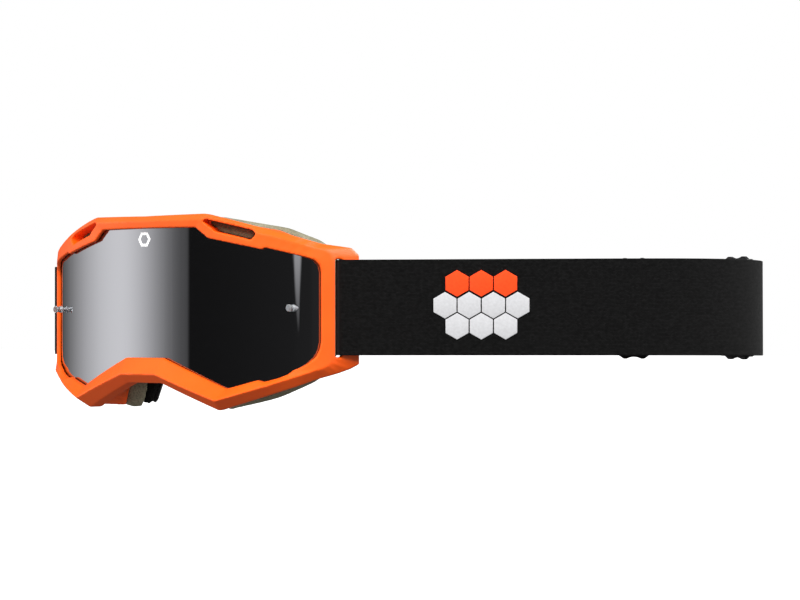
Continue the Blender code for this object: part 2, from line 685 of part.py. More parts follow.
def band(name, points, level, height, thickness, finish, group):
    """A flat band that stands on edge along a line seen from above, its middle at level(point)."""
    shape = bmesh.new()
    line = []
    for point in points:
        low = level(point) - height / 2
        line.append(shape.verts.new((point.x * MM, point.y * MM, low * MM)))
    edges = [shape.edges.new(pair) for pair in zip(line, line[1:])]
    raised = bmesh.ops.extrude_edge_only(shape, edges=edges)
    tops = [item for item in raised["geom"] if isinstance(item, bmesh.types.BMVert)]
    bmesh.ops.translate(shape, vec=(0, 0, height * MM), verts=tops)
    obj = add_object(name, shape, finish, group)
    wall = obj.modifiers.new("thickness", "SOLIDIFY")
    wall.thickness = thickness * MM
    wall.offset = 0.0
    wall.use_even_offset = True
    return obj


def strap_band(name, points, level, finish, parts):
    return band(name, points, level, STRAP_HEIGHT, STRAP_THICKNESS, finish, parts)


def sewn_end(centre, along, side):
    """The end of a band, turned back round a slider's middle bar on the given side."""
    outward = Vector((along.y, -along.x)) * side
    start = centre + outward * (LAYER_PITCH / 2)
    radius = BAR_DEPTH / 2 + GAP + STRAP_THICKNESS / 2
    pivot = centre + outward * (LAYER_PITCH / 2 + radius) + along * (BAR_WIDTH / 2 - 0.6)
    points = [start - along * (SLIDER_WIDTH / 2 + 1.0)]
    for degrees in (-90, -60, -30, 0, 30, 60, 90):
        angle = math.radians(degrees)
        points.append(pivot + along * radius * math.cos(angle) + outward * radius * math.sin(angle))
    points.append(points[-1] - along * (SLIDER_WIDTH / 2))
    return points


def slider_places():
    """Centre and forward direction of each slider."""
    a_centre = BEND_CENTRE + beside(SLIDER_A_HEADING) * BEND_RADIUS
    b_centre = far_line_point(SLIDER_B_RUN, 0.0)
    return (a_centre, heading(SLIDER_A_HEADING)), (b_centre, heading(BEND_END))


def make_strap(parts):
    elastic = material("black_elastic", BLACK, 0.9)
    strap_band("strap_band_left", spread(left_route(), 7.0), near_level, elastic, parts)
    strap_band("strap_band_right", spread(right_route(), 24.0), far_level, elastic, parts)
    (a_centre, a_along), (b_centre, b_along) = slider_places()

    # The near band's end lies outside the far band and is sewn round slider B.
    left_end = [far_line_point(0.5, LAYER_PITCH / 2)] + sewn_end(b_centre, b_along, 1.0)
    strap_band("strap_end_left", left_end, far_level, elastic, parts)

    # The far band's end lies inside the bend and is sewn round slider A.
    lead = 0.02
    arc = arc_points(BEND_CENTRE, BEND_RADIUS - LAYER_PITCH / 2, BEND_END - lead,
                     SLIDER_A_HEADING + math.radians(16.0), 4)
    right_end = arc + sewn_end(a_centre, -a_along, 1.0)[1:]
    strap_band("strap_end_right", right_end, far_level, elastic, parts)


def upright_box(name, centre, along, t_span, n_span, z_span, group):
    """A box in a slider's own directions: along the strap, outwards, and up."""
    outward = Vector((along.y, -along.x))
    loops = []
    for z in z_span:
        loop = []
        for t, n in ((t_span[0], n_span[0]), (t_span[1], n_span[0]),
                     (t_span[1], n_span[1]), (t_span[0], n_span[1])):
            spot = centre + along * t + outward * n
            loop.append(Vector((spot.x, spot.y, z + SLIDER_Z)) * MM)
        loops.append(loop)
    return loft(name, loops, None, group, closed=False)


def lug_outline():
    """A slider's lug in (along, height over the strap's edge): two points and a hollow between."""
    half = SLIDER_WIDTH / 2
    rise = SLIDER_HALF_HEIGHT - LUG_INNER_Z
    tip = half * 0.62
    outline = [(-half, 0.0), (-half, rise * 0.3), (-tip - 0.7, rise), (-tip + 0.7, rise)]
    hollow = tip - 0.7
    for step in range(1, 8):
        t = -hollow + 2 * hollow * step / 8
        outline.append((t, rise - LUG_HOLLOW * (1.0 - (t / hollow) ** 2)))
    outline += [(tip - 0.7, rise), (tip + 0.7, rise), (half, rise * 0.3), (half, 0.0)]
    return outline


def make_slider(name, centre, along, sewn_side, finish, parts, cutters):
    """sewn_side is the side of the loop, outer 1 or inner -1, whose band is sewn to this slider."""
    outward = Vector((along.y, -along.x))
    near = LAYERS_HALF
    far = near + BAR_DEPTH
    lugs = {}
    for end, up in (("top", 1.0), ("bottom", -1.0)):
        loops = []
        reach_out = far + LUG_PROUD
        for n, ceiling in ((-reach_out, LUG_BASE_RISE), (-LUG_CREST - 0.2, LUG_BASE_RISE),
                           (-LUG_CREST, SLIDER_HALF_HEIGHT), (LUG_CREST, SLIDER_HALF_HEIGHT),
                           (LUG_CREST + 0.2, LUG_BASE_RISE), (reach_out, LUG_BASE_RISE)):
            loop = []
            for t, rise in lug_outline():
                spot = centre + along * t + outward * n
                height = SLIDER_Z + up * (LUG_INNER_Z + min(rise, ceiling))
                loop.append(Vector((spot.x, spot.y, height)) * MM)
            loops.append(loop)
        group = parts if end == "top" else cutters
        lug_name = name if end == "top" else f"{name}_bottom_lug"
        lugs[end] = loft(lug_name, loops, finish, group, closed=False)
    reach = (-LUG_INNER_Z - 0.8, LUG_INNER_Z + 0.8)
    edge = SLIDER_WIDTH / 2
    plain = sorted((-sewn_side * near, -sewn_side * far))
    middle = sorted((sewn_side * (LAYER_PITCH / 2 + STRAP_THICKNESS / 2 + GAP),
                     sewn_side * (LAYER_PITCH / 2 + STRAP_THICKNESS / 2 + GAP + BAR_DEPTH)))
    bars = [("front_bar", (-edge + 0.4, -edge + 0.4 + BAR_WIDTH), plain),
            ("rear_bar", (edge - 0.4 - BAR_WIDTH, edge - 0.4), plain),
            ("middle_bar", (-BAR_WIDTH / 2, BAR_WIDTH / 2), middle)]
    for bar_name, t_span, n_span in bars:
        join(lugs["top"], upright_box(f"{name}_{bar_name}", centre, along, t_span, n_span,
                                      reach, cutters))
    join(lugs["top"], lugs["bottom"])


def make_sliders(parts, cutters):
    finish = material("black_nylon", BLACK, 0.45)
    (a_centre, a_along), (b_centre, b_along) = slider_places()
    make_slider("slider_a", a_centre, a_along, -1.0, finish, parts, cutters)
    make_slider("slider_b", b_centre, b_along, 1.0, finish, parts, cutters)


# ---- badge and grip lines ----------------------------------------------------------------------

def on_strap(curve, run, z, proud):
    """A point on the near half: run along it, height z, and proud of its centre line."""
    piece = stretch(curve, run - 0.5, run + 0.5)
    ahead = (piece[-1] - piece[0]).normalized()
    spot = (piece[0] + piece[-1]) / 2 + Vector((ahead.y, -ahead.x)) * proud
    return Vector((spot.x, spot.y, z + near_level(spot))) * MM


def make_badge(name, cells, rise, finish, curve, parts):
    """Joined honeycomb cells, printed as one raised patch that follows the strap."""
    width = math.sqrt(3.0) * CELL_RADIUS
    base = STRAP_THICKNESS / 2 + GAP
    shape = bmesh.new()
    for column, row in cells:
        ring = []
        for corner in range(6):
            angle = math.radians(30.0 + 60.0 * corner)
            across = column * width + CELL_RADIUS * math.cos(angle)
            up = row * CELL_RADIUS * 1.5 + CELL_RADIUS * math.sin(angle) + rise
            ring.append(shape.verts.new(on_strap(curve, BADGE_RUN + across, BADGE_Z + up, base)))
        shape.faces.new(ring)
    bmesh.ops.remove_doubles(shape, verts=shape.verts, dist=0.0001)
    bmesh.ops.recalc_face_normals(shape, faces=shape.faces)
    obj = add_object(name, shape, finish, parts)
    wall = obj.modifiers.new("thickness", "SOLIDIFY")
    wall.thickness = BADGE_THICKNESS * MM
    # The cells' faces point out of the loop, and the patch grows that way.
    wall.offset = 1.0
    return obj


def make_trim(parts):
    curve = near_curve()[1]
    orange = material("orange_rubber_print", ORANGE, 0.5)
    grey = material("white_rubber_print", (0.75, 0.75, 0.75), 0.5)
    make_badge("badge_orange", ORANGE_CELLS, CELL_PARTING, orange, curve, parts)
    make_badge("badge_white", GREY_CELLS, 0.0, grey, curve, parts)
    silicone = material("black_silicone", BLACK, 0.3)
    centre = stretch(curve, *GRIP_RUN)
    inner = shifted(centre, -(STRAP_THICKNESS / 2 + GAP + GRIP_THICKNESS / 2))
    for place, height in GRIP_HEIGHTS.items():
        def level(point, height=height):
            return near_level(point) + height
        band(f"grip_line_{place}", inner, level, GRIP_WIDTH, GRIP_THICKNESS, silicone, parts)


def main():
    clear_scene()
    parts = collection("motocross_goggles")
    cutters = collection("cutters")
    rows = full_rows()
    vents = {side: brow_vent(side, cutters) for side in (1, -1)}
    make_front_frame(rows, vents, parts, cutters)
    make_rear_frame(rows, vents, parts, cutters)
    make_lens(rows, parts, cutters)
    make_posts(parts)
    make_face_foam(rows, parts)
    make_vent_foams(rows, parts)
    make_strap(parts)
    make_sliders(parts, cutters)
    make_trim(parts)


main()
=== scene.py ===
"""Motocross goggles: orange frame, mirror lens, face foam and a long elastic strap."""

import math
from bisect import bisect_left

import bmesh
import bpy
from mathutils import Matrix, Vector


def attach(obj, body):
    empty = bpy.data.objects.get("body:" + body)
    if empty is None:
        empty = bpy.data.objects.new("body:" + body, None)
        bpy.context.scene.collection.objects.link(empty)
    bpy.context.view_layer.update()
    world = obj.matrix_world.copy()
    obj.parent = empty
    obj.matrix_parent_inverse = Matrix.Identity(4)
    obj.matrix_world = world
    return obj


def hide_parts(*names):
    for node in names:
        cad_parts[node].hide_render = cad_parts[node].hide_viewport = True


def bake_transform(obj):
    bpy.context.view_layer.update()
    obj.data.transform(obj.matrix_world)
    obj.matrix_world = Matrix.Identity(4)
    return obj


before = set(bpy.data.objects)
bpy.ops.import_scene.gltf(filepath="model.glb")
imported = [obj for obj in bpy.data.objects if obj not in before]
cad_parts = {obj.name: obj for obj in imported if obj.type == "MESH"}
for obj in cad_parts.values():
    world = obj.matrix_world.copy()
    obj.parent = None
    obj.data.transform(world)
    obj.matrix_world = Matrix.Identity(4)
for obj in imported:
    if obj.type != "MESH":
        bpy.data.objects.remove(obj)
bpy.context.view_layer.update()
MM = 0.001


# ---- studio --------------------------------------------------------------------------------------
# The camera stands 0.95 m off, to the wearer's left and level with the strap.
# White paper, a large softbox high in front and a smaller one behind, a bright wall on the left for
# the mirror and black curtains on its right, as in a product studio.

def linear(hex_colour):
    """An sRGB hex colour as linear RGBA."""
    parts = [int(hex_colour[i:i + 2], 16) / 255 for i in (1, 3, 5)]
    return (*(c / 12.92 if c <= 0.04045 else ((c + 0.055) / 1.055) ** 2.4 for c in parts), 1.0)


def add_node(tree, kind, settings=None, links=None):
    """Adds a node, sets its properties or sockets, and links other nodes' outputs to its inputs."""
    node = tree.nodes.new(kind)
    for name, value in (settings or {}).items():
        if isinstance(name, str) and hasattr(node, name):
            setattr(node, name, value)
        else:
            node.inputs[name].default_value = value
    for name, output in (links or {}).items():
        tree.links.new(output, node.inputs[name])
    return node


def set_stops(ramp, stops):
    """Gives a colour ramp these (position, colour) stops."""
    elements = ramp.color_ramp.elements
    while len(elements) > 1:
        elements.remove(elements[-1])
    elements[0].position, elements[0].color = stops[0]
    for position, colour in stops[1:]:
        elements.new(position).color = colour


def grey(value):
    return (value, value, value, 1.0)


camera = bpy.data.objects.new("camera", bpy.data.cameras.new("camera"))
bpy.context.scene.collection.objects.link(camera)
CAMERA_PLACE = Vector((0.59796, -0.78435, -0.00567))
CAMERA_TARGET = Vector((0.10535, 0.02789, 0.00393))
CAMERA_ROLL = math.radians(-0.098)
camera.data.lens = 88.95
camera.rotation_mode = "QUATERNION"
camera.location = CAMERA_PLACE
camera_turn = (CAMERA_TARGET - CAMERA_PLACE).to_track_quat("-Z", "Y")
camera_roll = Matrix.Rotation(CAMERA_ROLL, 4, "Z").to_quaternion()
camera.rotation_quaternion = camera_turn @ camera_roll
bpy.context.scene.camera = camera
bpy.context.scene.view_settings.view_transform = "Standard"

world = bpy.data.worlds.new("studio")
bpy.context.scene.world = world
world.use_nodes = True
sky = world.node_tree
sky.nodes.clear()
direction = add_node(sky, "ShaderNodeTexCoord").outputs["Generated"]
split = add_node(sky, "ShaderNodeSeparateXYZ", links={0: direction})
towards_front = add_node(sky, "ShaderNodeMath", {"operation": "MULTIPLY", 1: -1.0},
                         {0: split.outputs["Y"]})
bearing = add_node(sky, "ShaderNodeMath", {"operation": "ARCTAN2"},
                   {0: split.outputs["X"], 1: towards_front.outputs[0]})
turn = add_node(sky, "ShaderNodeMapRange", {"From Min": -math.pi, "From Max": math.pi},
                {"Value": bearing.outputs[0]})
# What shiny surfaces see, by bearing in degrees from straight ahead: a white wall on the left, lit
# in its middle, which ends sharply at black curtains, and a grey room behind.
STUDIO_WALLS = [(-180, 0.5), (-115, 0.1), (-55, 0.9), (-17, 0.1), (-16.5, 0.01), (60, 0.02),
                (120, 0.2), (180, 0.5)]


def set_round(ramp, stops):
    """Gives a colour ramp that runs once round the room these (bearing, brightness) stops."""
    set_stops(ramp, [((degrees + 180) / 360, grey(value)) for degrees, value in stops])


walls = add_node(sky, "ShaderNodeValToRGB", links={0: turn.outputs[0]})
walls.color_ramp.interpolation = "EASE"
set_round(walls, STUDIO_WALLS)

# A gap between black curtains on the right, wider and brighter towards its top.
GAP_BEARING = math.radians(41.0)
GAP_SPAN = {"From Min": -0.006, "From Max": 0.034}
gap_offset = add_node(sky, "ShaderNodeMath", {"operation": "SUBTRACT", 1: GAP_BEARING},
                      {0: bearing.outputs[0]})
gap_side = add_node(sky, "ShaderNodeMath", {"operation": "ABSOLUTE"}, {0: gap_offset.outputs[0]})
gap_width = add_node(sky, "ShaderNodeMapRange", {**GAP_SPAN, "To Min": 0.02, "To Max": 0.15},
                     {"Value": split.outputs["Z"]})
gap_share = add_node(sky, "ShaderNodeMath", {"operation": "DIVIDE"},
                     {0: gap_side.outputs[0], 1: gap_width.outputs[0]})
gap_profile = add_node(sky, "ShaderNodeMapRange", {"interpolation_type": "SMOOTHSTEP", "From Min": 1.0,
                                                   "From Max": 0.35}, {"Value": gap_share.outputs[0]})
gap_height = add_node(sky, "ShaderNodeMapRange", {**GAP_SPAN, "To Max": 0.45},
                      {"Value": split.outputs["Z"]})
gap_light = add_node(sky, "ShaderNodeMath", {"operation": "MULTIPLY"},
                     {0: gap_profile.outputs[0], 1: gap_height.outputs[0]})
room = add_node(sky, "ShaderNodeMix", {"data_type": "RGBA", "blend_type": "ADD", 0: 1.0},
                {6: walls.outputs[0], 7: gap_light.outputs[0]})
# The walls' shine fades out towards the floor and the ceiling.
height = add_node(sky, "ShaderNodeMapRange", {"From Min": -0.6, "From Max": 0.6},
                  {"Value": split.outputs["Z"]})
wall_height = add_node(sky, "ShaderNodeValToRGB", links={0: height.outputs[0]})
set_stops(wall_height, [(0.1, grey(0.05)), (0.4, grey(1.0)), (0.62, grey(1.0)), (1.0, grey(0.25))])
shine = add_node(sky, "ShaderNodeMix", {"data_type": "RGBA", "blend_type": "MULTIPLY", 0: 1.0},
                 {6: room.outputs[2], 7: wall_height.outputs[0]})

# Diffuse light: strongest from the left, and weaker from below.
LIGHT_ROUND = [(-180, 0.45), (-110, 0.8), (-60, 1.25), (-20, 1.1), (15, 0.7), (45, 0.42), (90, 0.3),
               (180, 0.45)]
light_round = add_node(sky, "ShaderNodeValToRGB", links={0: turn.outputs[0]})
set_round(light_round, LIGHT_ROUND)
light_height = add_node(sky, "ShaderNodeValToRGB", links={0: height.outputs[0]})
set_stops(light_height, [(0.0, grey(0.5)), (0.5, grey(0.95)), (1.0, grey(0.6))])
light_from = add_node(sky, "ShaderNodeMix", {"data_type": "RGBA", "blend_type": "MULTIPLY", 0: 1.0},
                      {6: light_round.outputs[0], 7: light_height.outputs[0]})
ray = add_node(sky, "ShaderNodeLightPath")
soft = add_node(sky, "ShaderNodeMix", {"data_type": "RGBA"},
                {0: ray.outputs["Is Glossy Ray"], 6: light_from.outputs[2], 7: shine.outputs[2]})
seen = add_node(sky, "ShaderNodeMix", {"data_type": "RGBA", 7: grey(1.0)},
                {0: ray.outputs["Is Camera Ray"], 6: soft.outputs[2]})
background = add_node(sky, "ShaderNodeBackground", links={"Color": seen.outputs[2]})
add_node(sky, "ShaderNodeOutputWorld", links={"Surface": background.outputs[0]})


def softbox(name, place, aim, size, power, shiny):
    """A square softbox. shiny: whether glossy surfaces mirror it."""
    light = bpy.data.lights.new(name, "AREA")
    light.shape = "SQUARE"
    light.size = size
    light.energy = power
    lamp = bpy.data.objects.new(name, light)
    lamp.location = place
    lamp.rotation_mode = "QUATERNION"
    lamp.rotation_quaternion = (Vector(aim) - Vector(place)).to_track_quat("-Z", "Y")
    lamp.visible_glossy = shiny
    bpy.context.scene.collection.objects.link(lamp)


softbox("key", place=(0.45, -1.3, 1.1), aim=(0.0, 0.0, 0.0), size=1.1, power=46.0, shiny=False)
softbox("rear", place=(1.4, 0.6, 0.9), aim=(0.2, 0.1, 0.0), size=0.8, power=28.0, shiny=True)

FLOOR_Z = -0.2
FLOOR_HALF = 9.0
floor_shape = bmesh.new()
bmesh.ops.create_grid(floor_shape, x_segments=1, y_segments=1, size=FLOOR_HALF)
bmesh.ops.translate(floor_shape, vec=(0, 0, FLOOR_Z), verts=floor_shape.verts)
floor_mesh = bpy.data.meshes.new("floor")
floor_shape.to_mesh(floor_mesh)
floor_shape.free()
floor = bpy.data.objects.new("floor", floor_mesh)
bpy.context.scene.collection.objects.link(floor)
floor.visible_diffuse = False
floor.visible_glossy = False


def new_material(name):
    """A material, its node tree and its Principled shader."""
    made = bpy.data.materials.new(name)
    made.use_nodes = True
    return made, made.node_tree, made.node_tree.nodes["Principled BSDF"]


# Coated paper, evenly lit from above: matt, and white out to its edges.
white_paper, tree, shader = new_material("white seamless paper, matt coated")
shader.inputs["Base Color"].default_value = grey(1.0)
shader.inputs["Roughness"].default_value = 1.0
shader.inputs["Emission Color"].default_value = grey(1.0)
shader.inputs["Emission Strength"].default_value = 1.0
floor_mesh.materials.append(white_paper)


# ---- front and rear frame ------------------------------------------------------------------------
# Two thermoplastic mouldings, orange all through, with a satin spark-eroded skin and broken edges.
# The rear one clips in behind the lens and carries the foam.

def in_millimetres(tree, scale=(1.0, 1.0, 1.0)):
    """The piece's own coordinates, counted in millimetres."""
    coords = add_node(tree, "ShaderNodeTexCoord")
    factor = tuple(1000.0 * s for s in scale)
    mapping = add_node(tree, "ShaderNodeMapping", {"Scale": factor}, {0: coords.outputs["Object"]})
    return mapping.outputs[0]


def finish_piece(name, shape, materials, body, crease=30.0):
    """Makes the piece's object with smooth shading that stops at edges sharper than crease."""
    for edge in shape.edges:
        edge.smooth = edge.is_manifold and edge.calc_face_angle(0.0) < math.radians(crease)
    for face in shape.faces:
        face.smooth = True
    mesh = bpy.data.meshes.new(name)
    shape.to_mesh(mesh)
    shape.free()
    piece = bpy.data.objects.new(name, mesh)
    for material in materials:
        mesh.materials.append(material)
    bpy.context.scene.collection.objects.link(piece)
    if body:
        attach(piece, body)
    return piece


SLIVER = 0.00004
FLAT = math.radians(0.4)


def copy_of(node):
    """A CAD node's shape, with its loose triangles joined into flat faces."""
    shape = bmesh.new()
    shape.from_mesh(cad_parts[node].data)
    bmesh.ops.remove_doubles(shape, verts=shape.verts, dist=SLIVER)
    bmesh.ops.dissolve_degenerate(shape, dist=SLIVER, edges=shape.edges)
    bmesh.ops.dissolve_limit(shape, angle_limit=FLAT, verts=shape.verts, edges=shape.edges)
    return shape


def round_edges(piece, width, degrees, segments=3):
    """Rounds the edges that are sharper than this angle, as moulding or sewing leaves them."""
    bevel = piece.modifiers.new("broken edges", "BEVEL")
    bevel.width = width
    bevel.segments = segments
    bevel.limit_method = "ANGLE"
    bevel.angle_limit = math.radians(degrees)
    bevel.use_clamp_overlap = False
    bevel.harden_normals = False


def orange_moulding(name, colour, deep):
    """Thermoplastic urethane, moulded: the skin's fine grain scatters the light, so it looks satin,
    and the colour drifts slightly where the melt flowed."""
    made, tree, shader = new_material(name)
    place = in_millimetres(tree)
    flow = add_node(tree, "ShaderNodeTexNoise", {"Scale": 0.06, "Detail": 3.0}, {"Vector": place})
    tint = add_node(tree, "ShaderNodeValToRGB", links={0: flow.outputs["Fac"]})
    set_stops(tint, [(0.3, linear(deep)), (0.7, linear(colour))])
    grain = add_node(tree, "ShaderNodeTexNoise", {"Scale": 2.6, "Detail": 4.0, "Roughness": 0.6},
                     {"Vector": place})
    bump = add_node(tree, "ShaderNodeBump", {"Strength": 0.1, "Distance": 0.00006},
                    {"Height": grain.outputs["Fac"]})
    gloss = add_node(tree, "ShaderNodeMapRange", {"To Min": 0.36, "To Max": 0.5},
                     {"Value": grain.outputs["Fac"]})
    tree.links.new(tint.outputs[0], shader.inputs["Base Color"])
    tree.links.new(gloss.outputs[0], shader.inputs["Roughness"])
    tree.links.new(bump.outputs[0], shader.inputs["Normal"])
    shader.inputs["IOR"].default_value = 1.5
    shader.inputs["Specular IOR Level"].default_value = 0.8
    return made


def even_skin(piece, voxel, rounds):
    """An even mesh whose edges come out broken, as a moulding's are."""
    remesh = piece.modifiers.new("even mesh", "REMESH")
    remesh.mode = "VOXEL"
    remesh.voxel_size = voxel
    remesh.use_smooth_shade = True
    soften = piece.modifiers.new("broken edges", "SMOOTH")
    soften.factor = 0.5
    soften.iterations = rounds


FRONT_VOXEL = 0.6 * MM
REAR_VOXEL = 0.7 * MM
SKIN_ROUNDS = 2
orange_skin = orange_moulding("orange urethane, satin moulded", "#FF5F09", "#FD5A07")
front = finish_piece("front", copy_of("front_frame"), [orange_skin], None, 180.0)
even_skin(front, FRONT_VOXEL, SKIN_ROUNDS)
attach(front, "goggles")
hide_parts("front_frame")
rear = finish_piece("rear", copy_of("rear_frame"), [orange_skin], None, 180.0)
even_skin(rear, REAR_VOXEL, SKIN_ROUNDS)
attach(rear, "goggles")
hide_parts("rear_frame")


# ---- lens ----------------------------------------------------------------------------------------
# Injection moulded polycarbonate, curved one way only, 1 mm thick and tinted smoke.
# The outer side is vacuum coated with a silver mirror. It clips into the groove of the front.

FACE_RADIUS = 130.0
FACE_ARC = 76.0
TURN_RADIUS = 35.0
OUTRIGGER_ANGLE = math.radians(50.0)
FACE_FRONT_Y = -36.0


def face_plan(s, d):
    """X and Y of the point at s along the curved face and d behind it, in millimetres."""
    side = -1.0 if s < 0 else 1.0
    along = abs(s)
    arc_angle = FACE_ARC / FACE_RADIUS
    angle = along / FACE_RADIUS
    x = FACE_RADIUS * math.sin(min(angle, arc_angle))
    y = FACE_RADIUS * (1.0 - math.cos(min(angle, arc_angle)))
    if along > FACE_ARC:
        turn_end = FACE_ARC + (OUTRIGGER_ANGLE - arc_angle) * TURN_RADIUS
        angle = min(arc_angle + (along - FACE_ARC) / TURN_RADIUS, OUTRIGGER_ANGLE)
        straight = max(along - turn_end, 0.0)
        x += TURN_RADIUS * (math.sin(angle) - math.sin(arc_angle)) + straight * math.cos(angle)
        y += TURN_RADIUS * (math.cos(arc_angle) - math.cos(angle)) + straight * math.sin(angle)
    return side * (x - d * math.sin(angle)), y + d * math.cos(angle) + FACE_FRONT_Y


def wrap_round_face(shape):
    """Bends a flat shape, with x along the face, z up and y the depth behind it, all in mm."""
    for vert in shape.verts:
        x, y = face_plan(vert.co.x, vert.co.y)
        vert.co = Vector((x, y, vert.co.z)) * MM


LENS_FRONT = 2.55
LENS_THICKNESS = 1.0
LENS_FACET = 1.5
LENS_FACETS = 61                # on each half
MEETING = 0.0001                # points nearer than this count as one
FACE_REACH = 120.0              # farther along the face than the lens goes
POST_HOLE_ZONE = 5.0
ON_FRONT = 0.05
HALVINGS = 40


def place_along_face(x, depth):
    """The s whose point at this depth has this x: face_plan turned round, by halving."""
    low, high = 0.0, FACE_REACH
    for _ in range(HALVINGS):
        middle = (low + high) / 2
        if face_plan(middle, depth)[0] < abs(x):
            low = middle
        else:
            high = middle
    return math.copysign(high, x)


# The outline is the CAD lens's own, laid flat. What lies near z = 0 is the rims of the post holes.
cad_lens = copy_of("lens")
rim = []
for vert in cad_lens.verts:
    x, y, z = vert.co / MM
    s = place_along_face(x, LENS_FRONT)
    if abs(face_plan(s, LENS_FRONT)[1] - y) < ON_FRONT and abs(z) > POST_HOLE_ZONE:
        rim.append((s, z))
cad_lens.free()
lens_outline = sorted(point for point in rim if point[1] > 0)
lens_outline += sorted((point for point in rim if point[1] < 0), reverse=True)
lens_shape = bmesh.new()
lens_shape.faces.new([lens_shape.verts.new((s, LENS_FRONT, z)) for s, z in lens_outline])
for step in range(-LENS_FACETS, LENS_FACETS + 1):
    everything = lens_shape.verts[:] + lens_shape.edges[:] + lens_shape.faces[:]
    bmesh.ops.bisect_plane(lens_shape, geom=everything, dist=MEETING,
                           plane_co=(step * LENS_FACET, 0, 0), plane_no=(1, 0, 0))
lens_back = bmesh.ops.extrude_face_region(lens_shape, geom=lens_shape.faces[:])["geom"]
back_verts = [item for item in lens_back if isinstance(item, bmesh.types.BMVert)]
bmesh.ops.translate(lens_shape, vec=(0, LENS_THICKNESS, 0), verts=back_verts)
for face in lens_shape.faces:
    is_front = all(abs(vert.co.y - LENS_FRONT) < ON_FRONT for vert in face.verts)
    face.material_index = 0 if is_front else 1
wrap_round_face(lens_shape)
bmesh.ops.recalc_face_normals(lens_shape, faces=lens_shape.faces)

# Vacuum-deposited silver on polycarbonate: a clean mirror, a little soft from the moulded skin
# under it, with faint wiping marks that only change how sharp the mirror is.
silver, tree, shader = new_material("silver mirror coating, vacuum deposited")
shader.inputs["Base Color"].default_value = linear("#CDCDD2")
shader.inputs["Metallic"].default_value = 1.0
wiped = add_node(tree, "ShaderNodeTexNoise", {"Scale": 0.5, "Detail": 5.0, "Distortion": 0.6},
                 {"Vector": in_millimetres(tree, (0.25, 0.25, 1.2))})
haze = add_node(tree, "ShaderNodeMapRange", {"From Min": 0.35, "From Max": 0.75,
                                             "To Min": 0.02, "To Max": 0.035},
                {"Value": wiped.outputs["Fac"]})
tree.links.new(haze.outputs[0], shader.inputs["Roughness"])

# Smoke polycarbonate, polished: dark and glossy, and a trace of the moulding's flow in its gloss.
smoke, tree, shader = new_material("smoke polycarbonate, polished")
shader.inputs["Base Color"].default_value = linear("#26282B")
shader.inputs["IOR"].default_value = 1.58
flow = add_node(tree, "ShaderNodeTexNoise", {"Scale": 0.08, "Detail": 2.0}, {"Vector": in_millimetres(tree)})
gloss = add_node(tree, "ShaderNodeMapRange", {"To Min": 0.06, "To Max": 0.14},
                 {"Value": flow.outputs["Fac"]})
tree.links.new(gloss.outputs[0], shader.inputs["Roughness"])

lens = finish_piece("mirror_lens", lens_shape, [silver, smoke], "goggles", 30.0)
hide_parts("lens")

# A pad-printed white hexagon outline at the top of the lens. The film of ink is drawn 0.05 mm thick.
MARK_PROUD = 0.06
MARK_PLACE = (-1.6, LENS_FRONT - MARK_PROUD, 33.4)
MARK_RADIUS = 3.9
MARK_LINE = 1.5
INK_FILM = 0.05
mark_shape = bmesh.new()
bmesh.ops.create_circle(mark_shape, cap_ends=True, segments=6, radius=MARK_RADIUS)
for angle, axis in ((math.pi / 2, "X"), (math.pi / 6, "Y")):
    bmesh.ops.rotate(mark_shape, cent=(0, 0, 0), matrix=Matrix.Rotation(angle, 3, axis),
                     verts=mark_shape.verts)
bmesh.ops.translate(mark_shape, vec=MARK_PLACE, verts=mark_shape.verts)
bmesh.ops.inset_region(mark_shape, faces=mark_shape.faces[:], thickness=MARK_LINE, use_boundary=True)
mark_middle = [face for face in mark_shape.faces if len(face.verts) == 6]
bmesh.ops.delete(mark_shape, geom=mark_middle, context="FACES")
mark_rim = bmesh.ops.extrude_face_region(mark_shape, geom=mark_shape.faces[:])["geom"]
bmesh.ops.translate(mark_shape, vec=(0, INK_FILM, 0),
                    verts=[item for item in mark_rim if isinstance(item, bmesh.types.BMVert)])
wrap_round_face(mark_shape)
bmesh.ops.recalc_face_normals(mark_shape, faces=mark_shape.faces)
ink, tree, shader = new_material("white ink, pad printed")
ink_noise = add_node(tree, "ShaderNodeTexNoise", {"Scale": 6.0, "Detail": 2.0},
                     {"Vector": in_millimetres(tree)})
ink_tint = add_node(tree, "ShaderNodeValToRGB", links={0: ink_noise.outputs["Fac"]})
set_stops(ink_tint, [(0.3, linear("#E9E9EA")), (0.7, linear("#F8F8F8"))])
tree.links.new(ink_tint.outputs[0], shader.inputs["Base Color"])
shader.inputs["Roughness"].default_value = 0.45
finish_piece("lens_print", mark_shape, [ink], "goggles")


# ---- tear-off posts ------------------------------------------------------------------------------
# Clear polycarbonate pins through the lens that tear-off films hook over, each with a ring behind.

POST_S = 77.6
POST_FACETS = 40
POST_PROFILE = [(0.0, -6.2), (1.3, -6.2), (1.7, -5.8), (1.7, -5.2), (1.5, -5.0), (1.05, -4.8),
                (1.0, -3.0), (1.2, -2.75), (1.7, -2.5), (1.7, -1.7), (1.0, -1.65), (1.0, 4.8),
                (0.0, 4.8)]
RING_PROFILE = [(1.1, 3.3), (2.0, 3.3), (2.2, 3.5), (2.2, 4.2), (2.0, 4.4), (1.1, 4.4), (1.1, 3.3)]


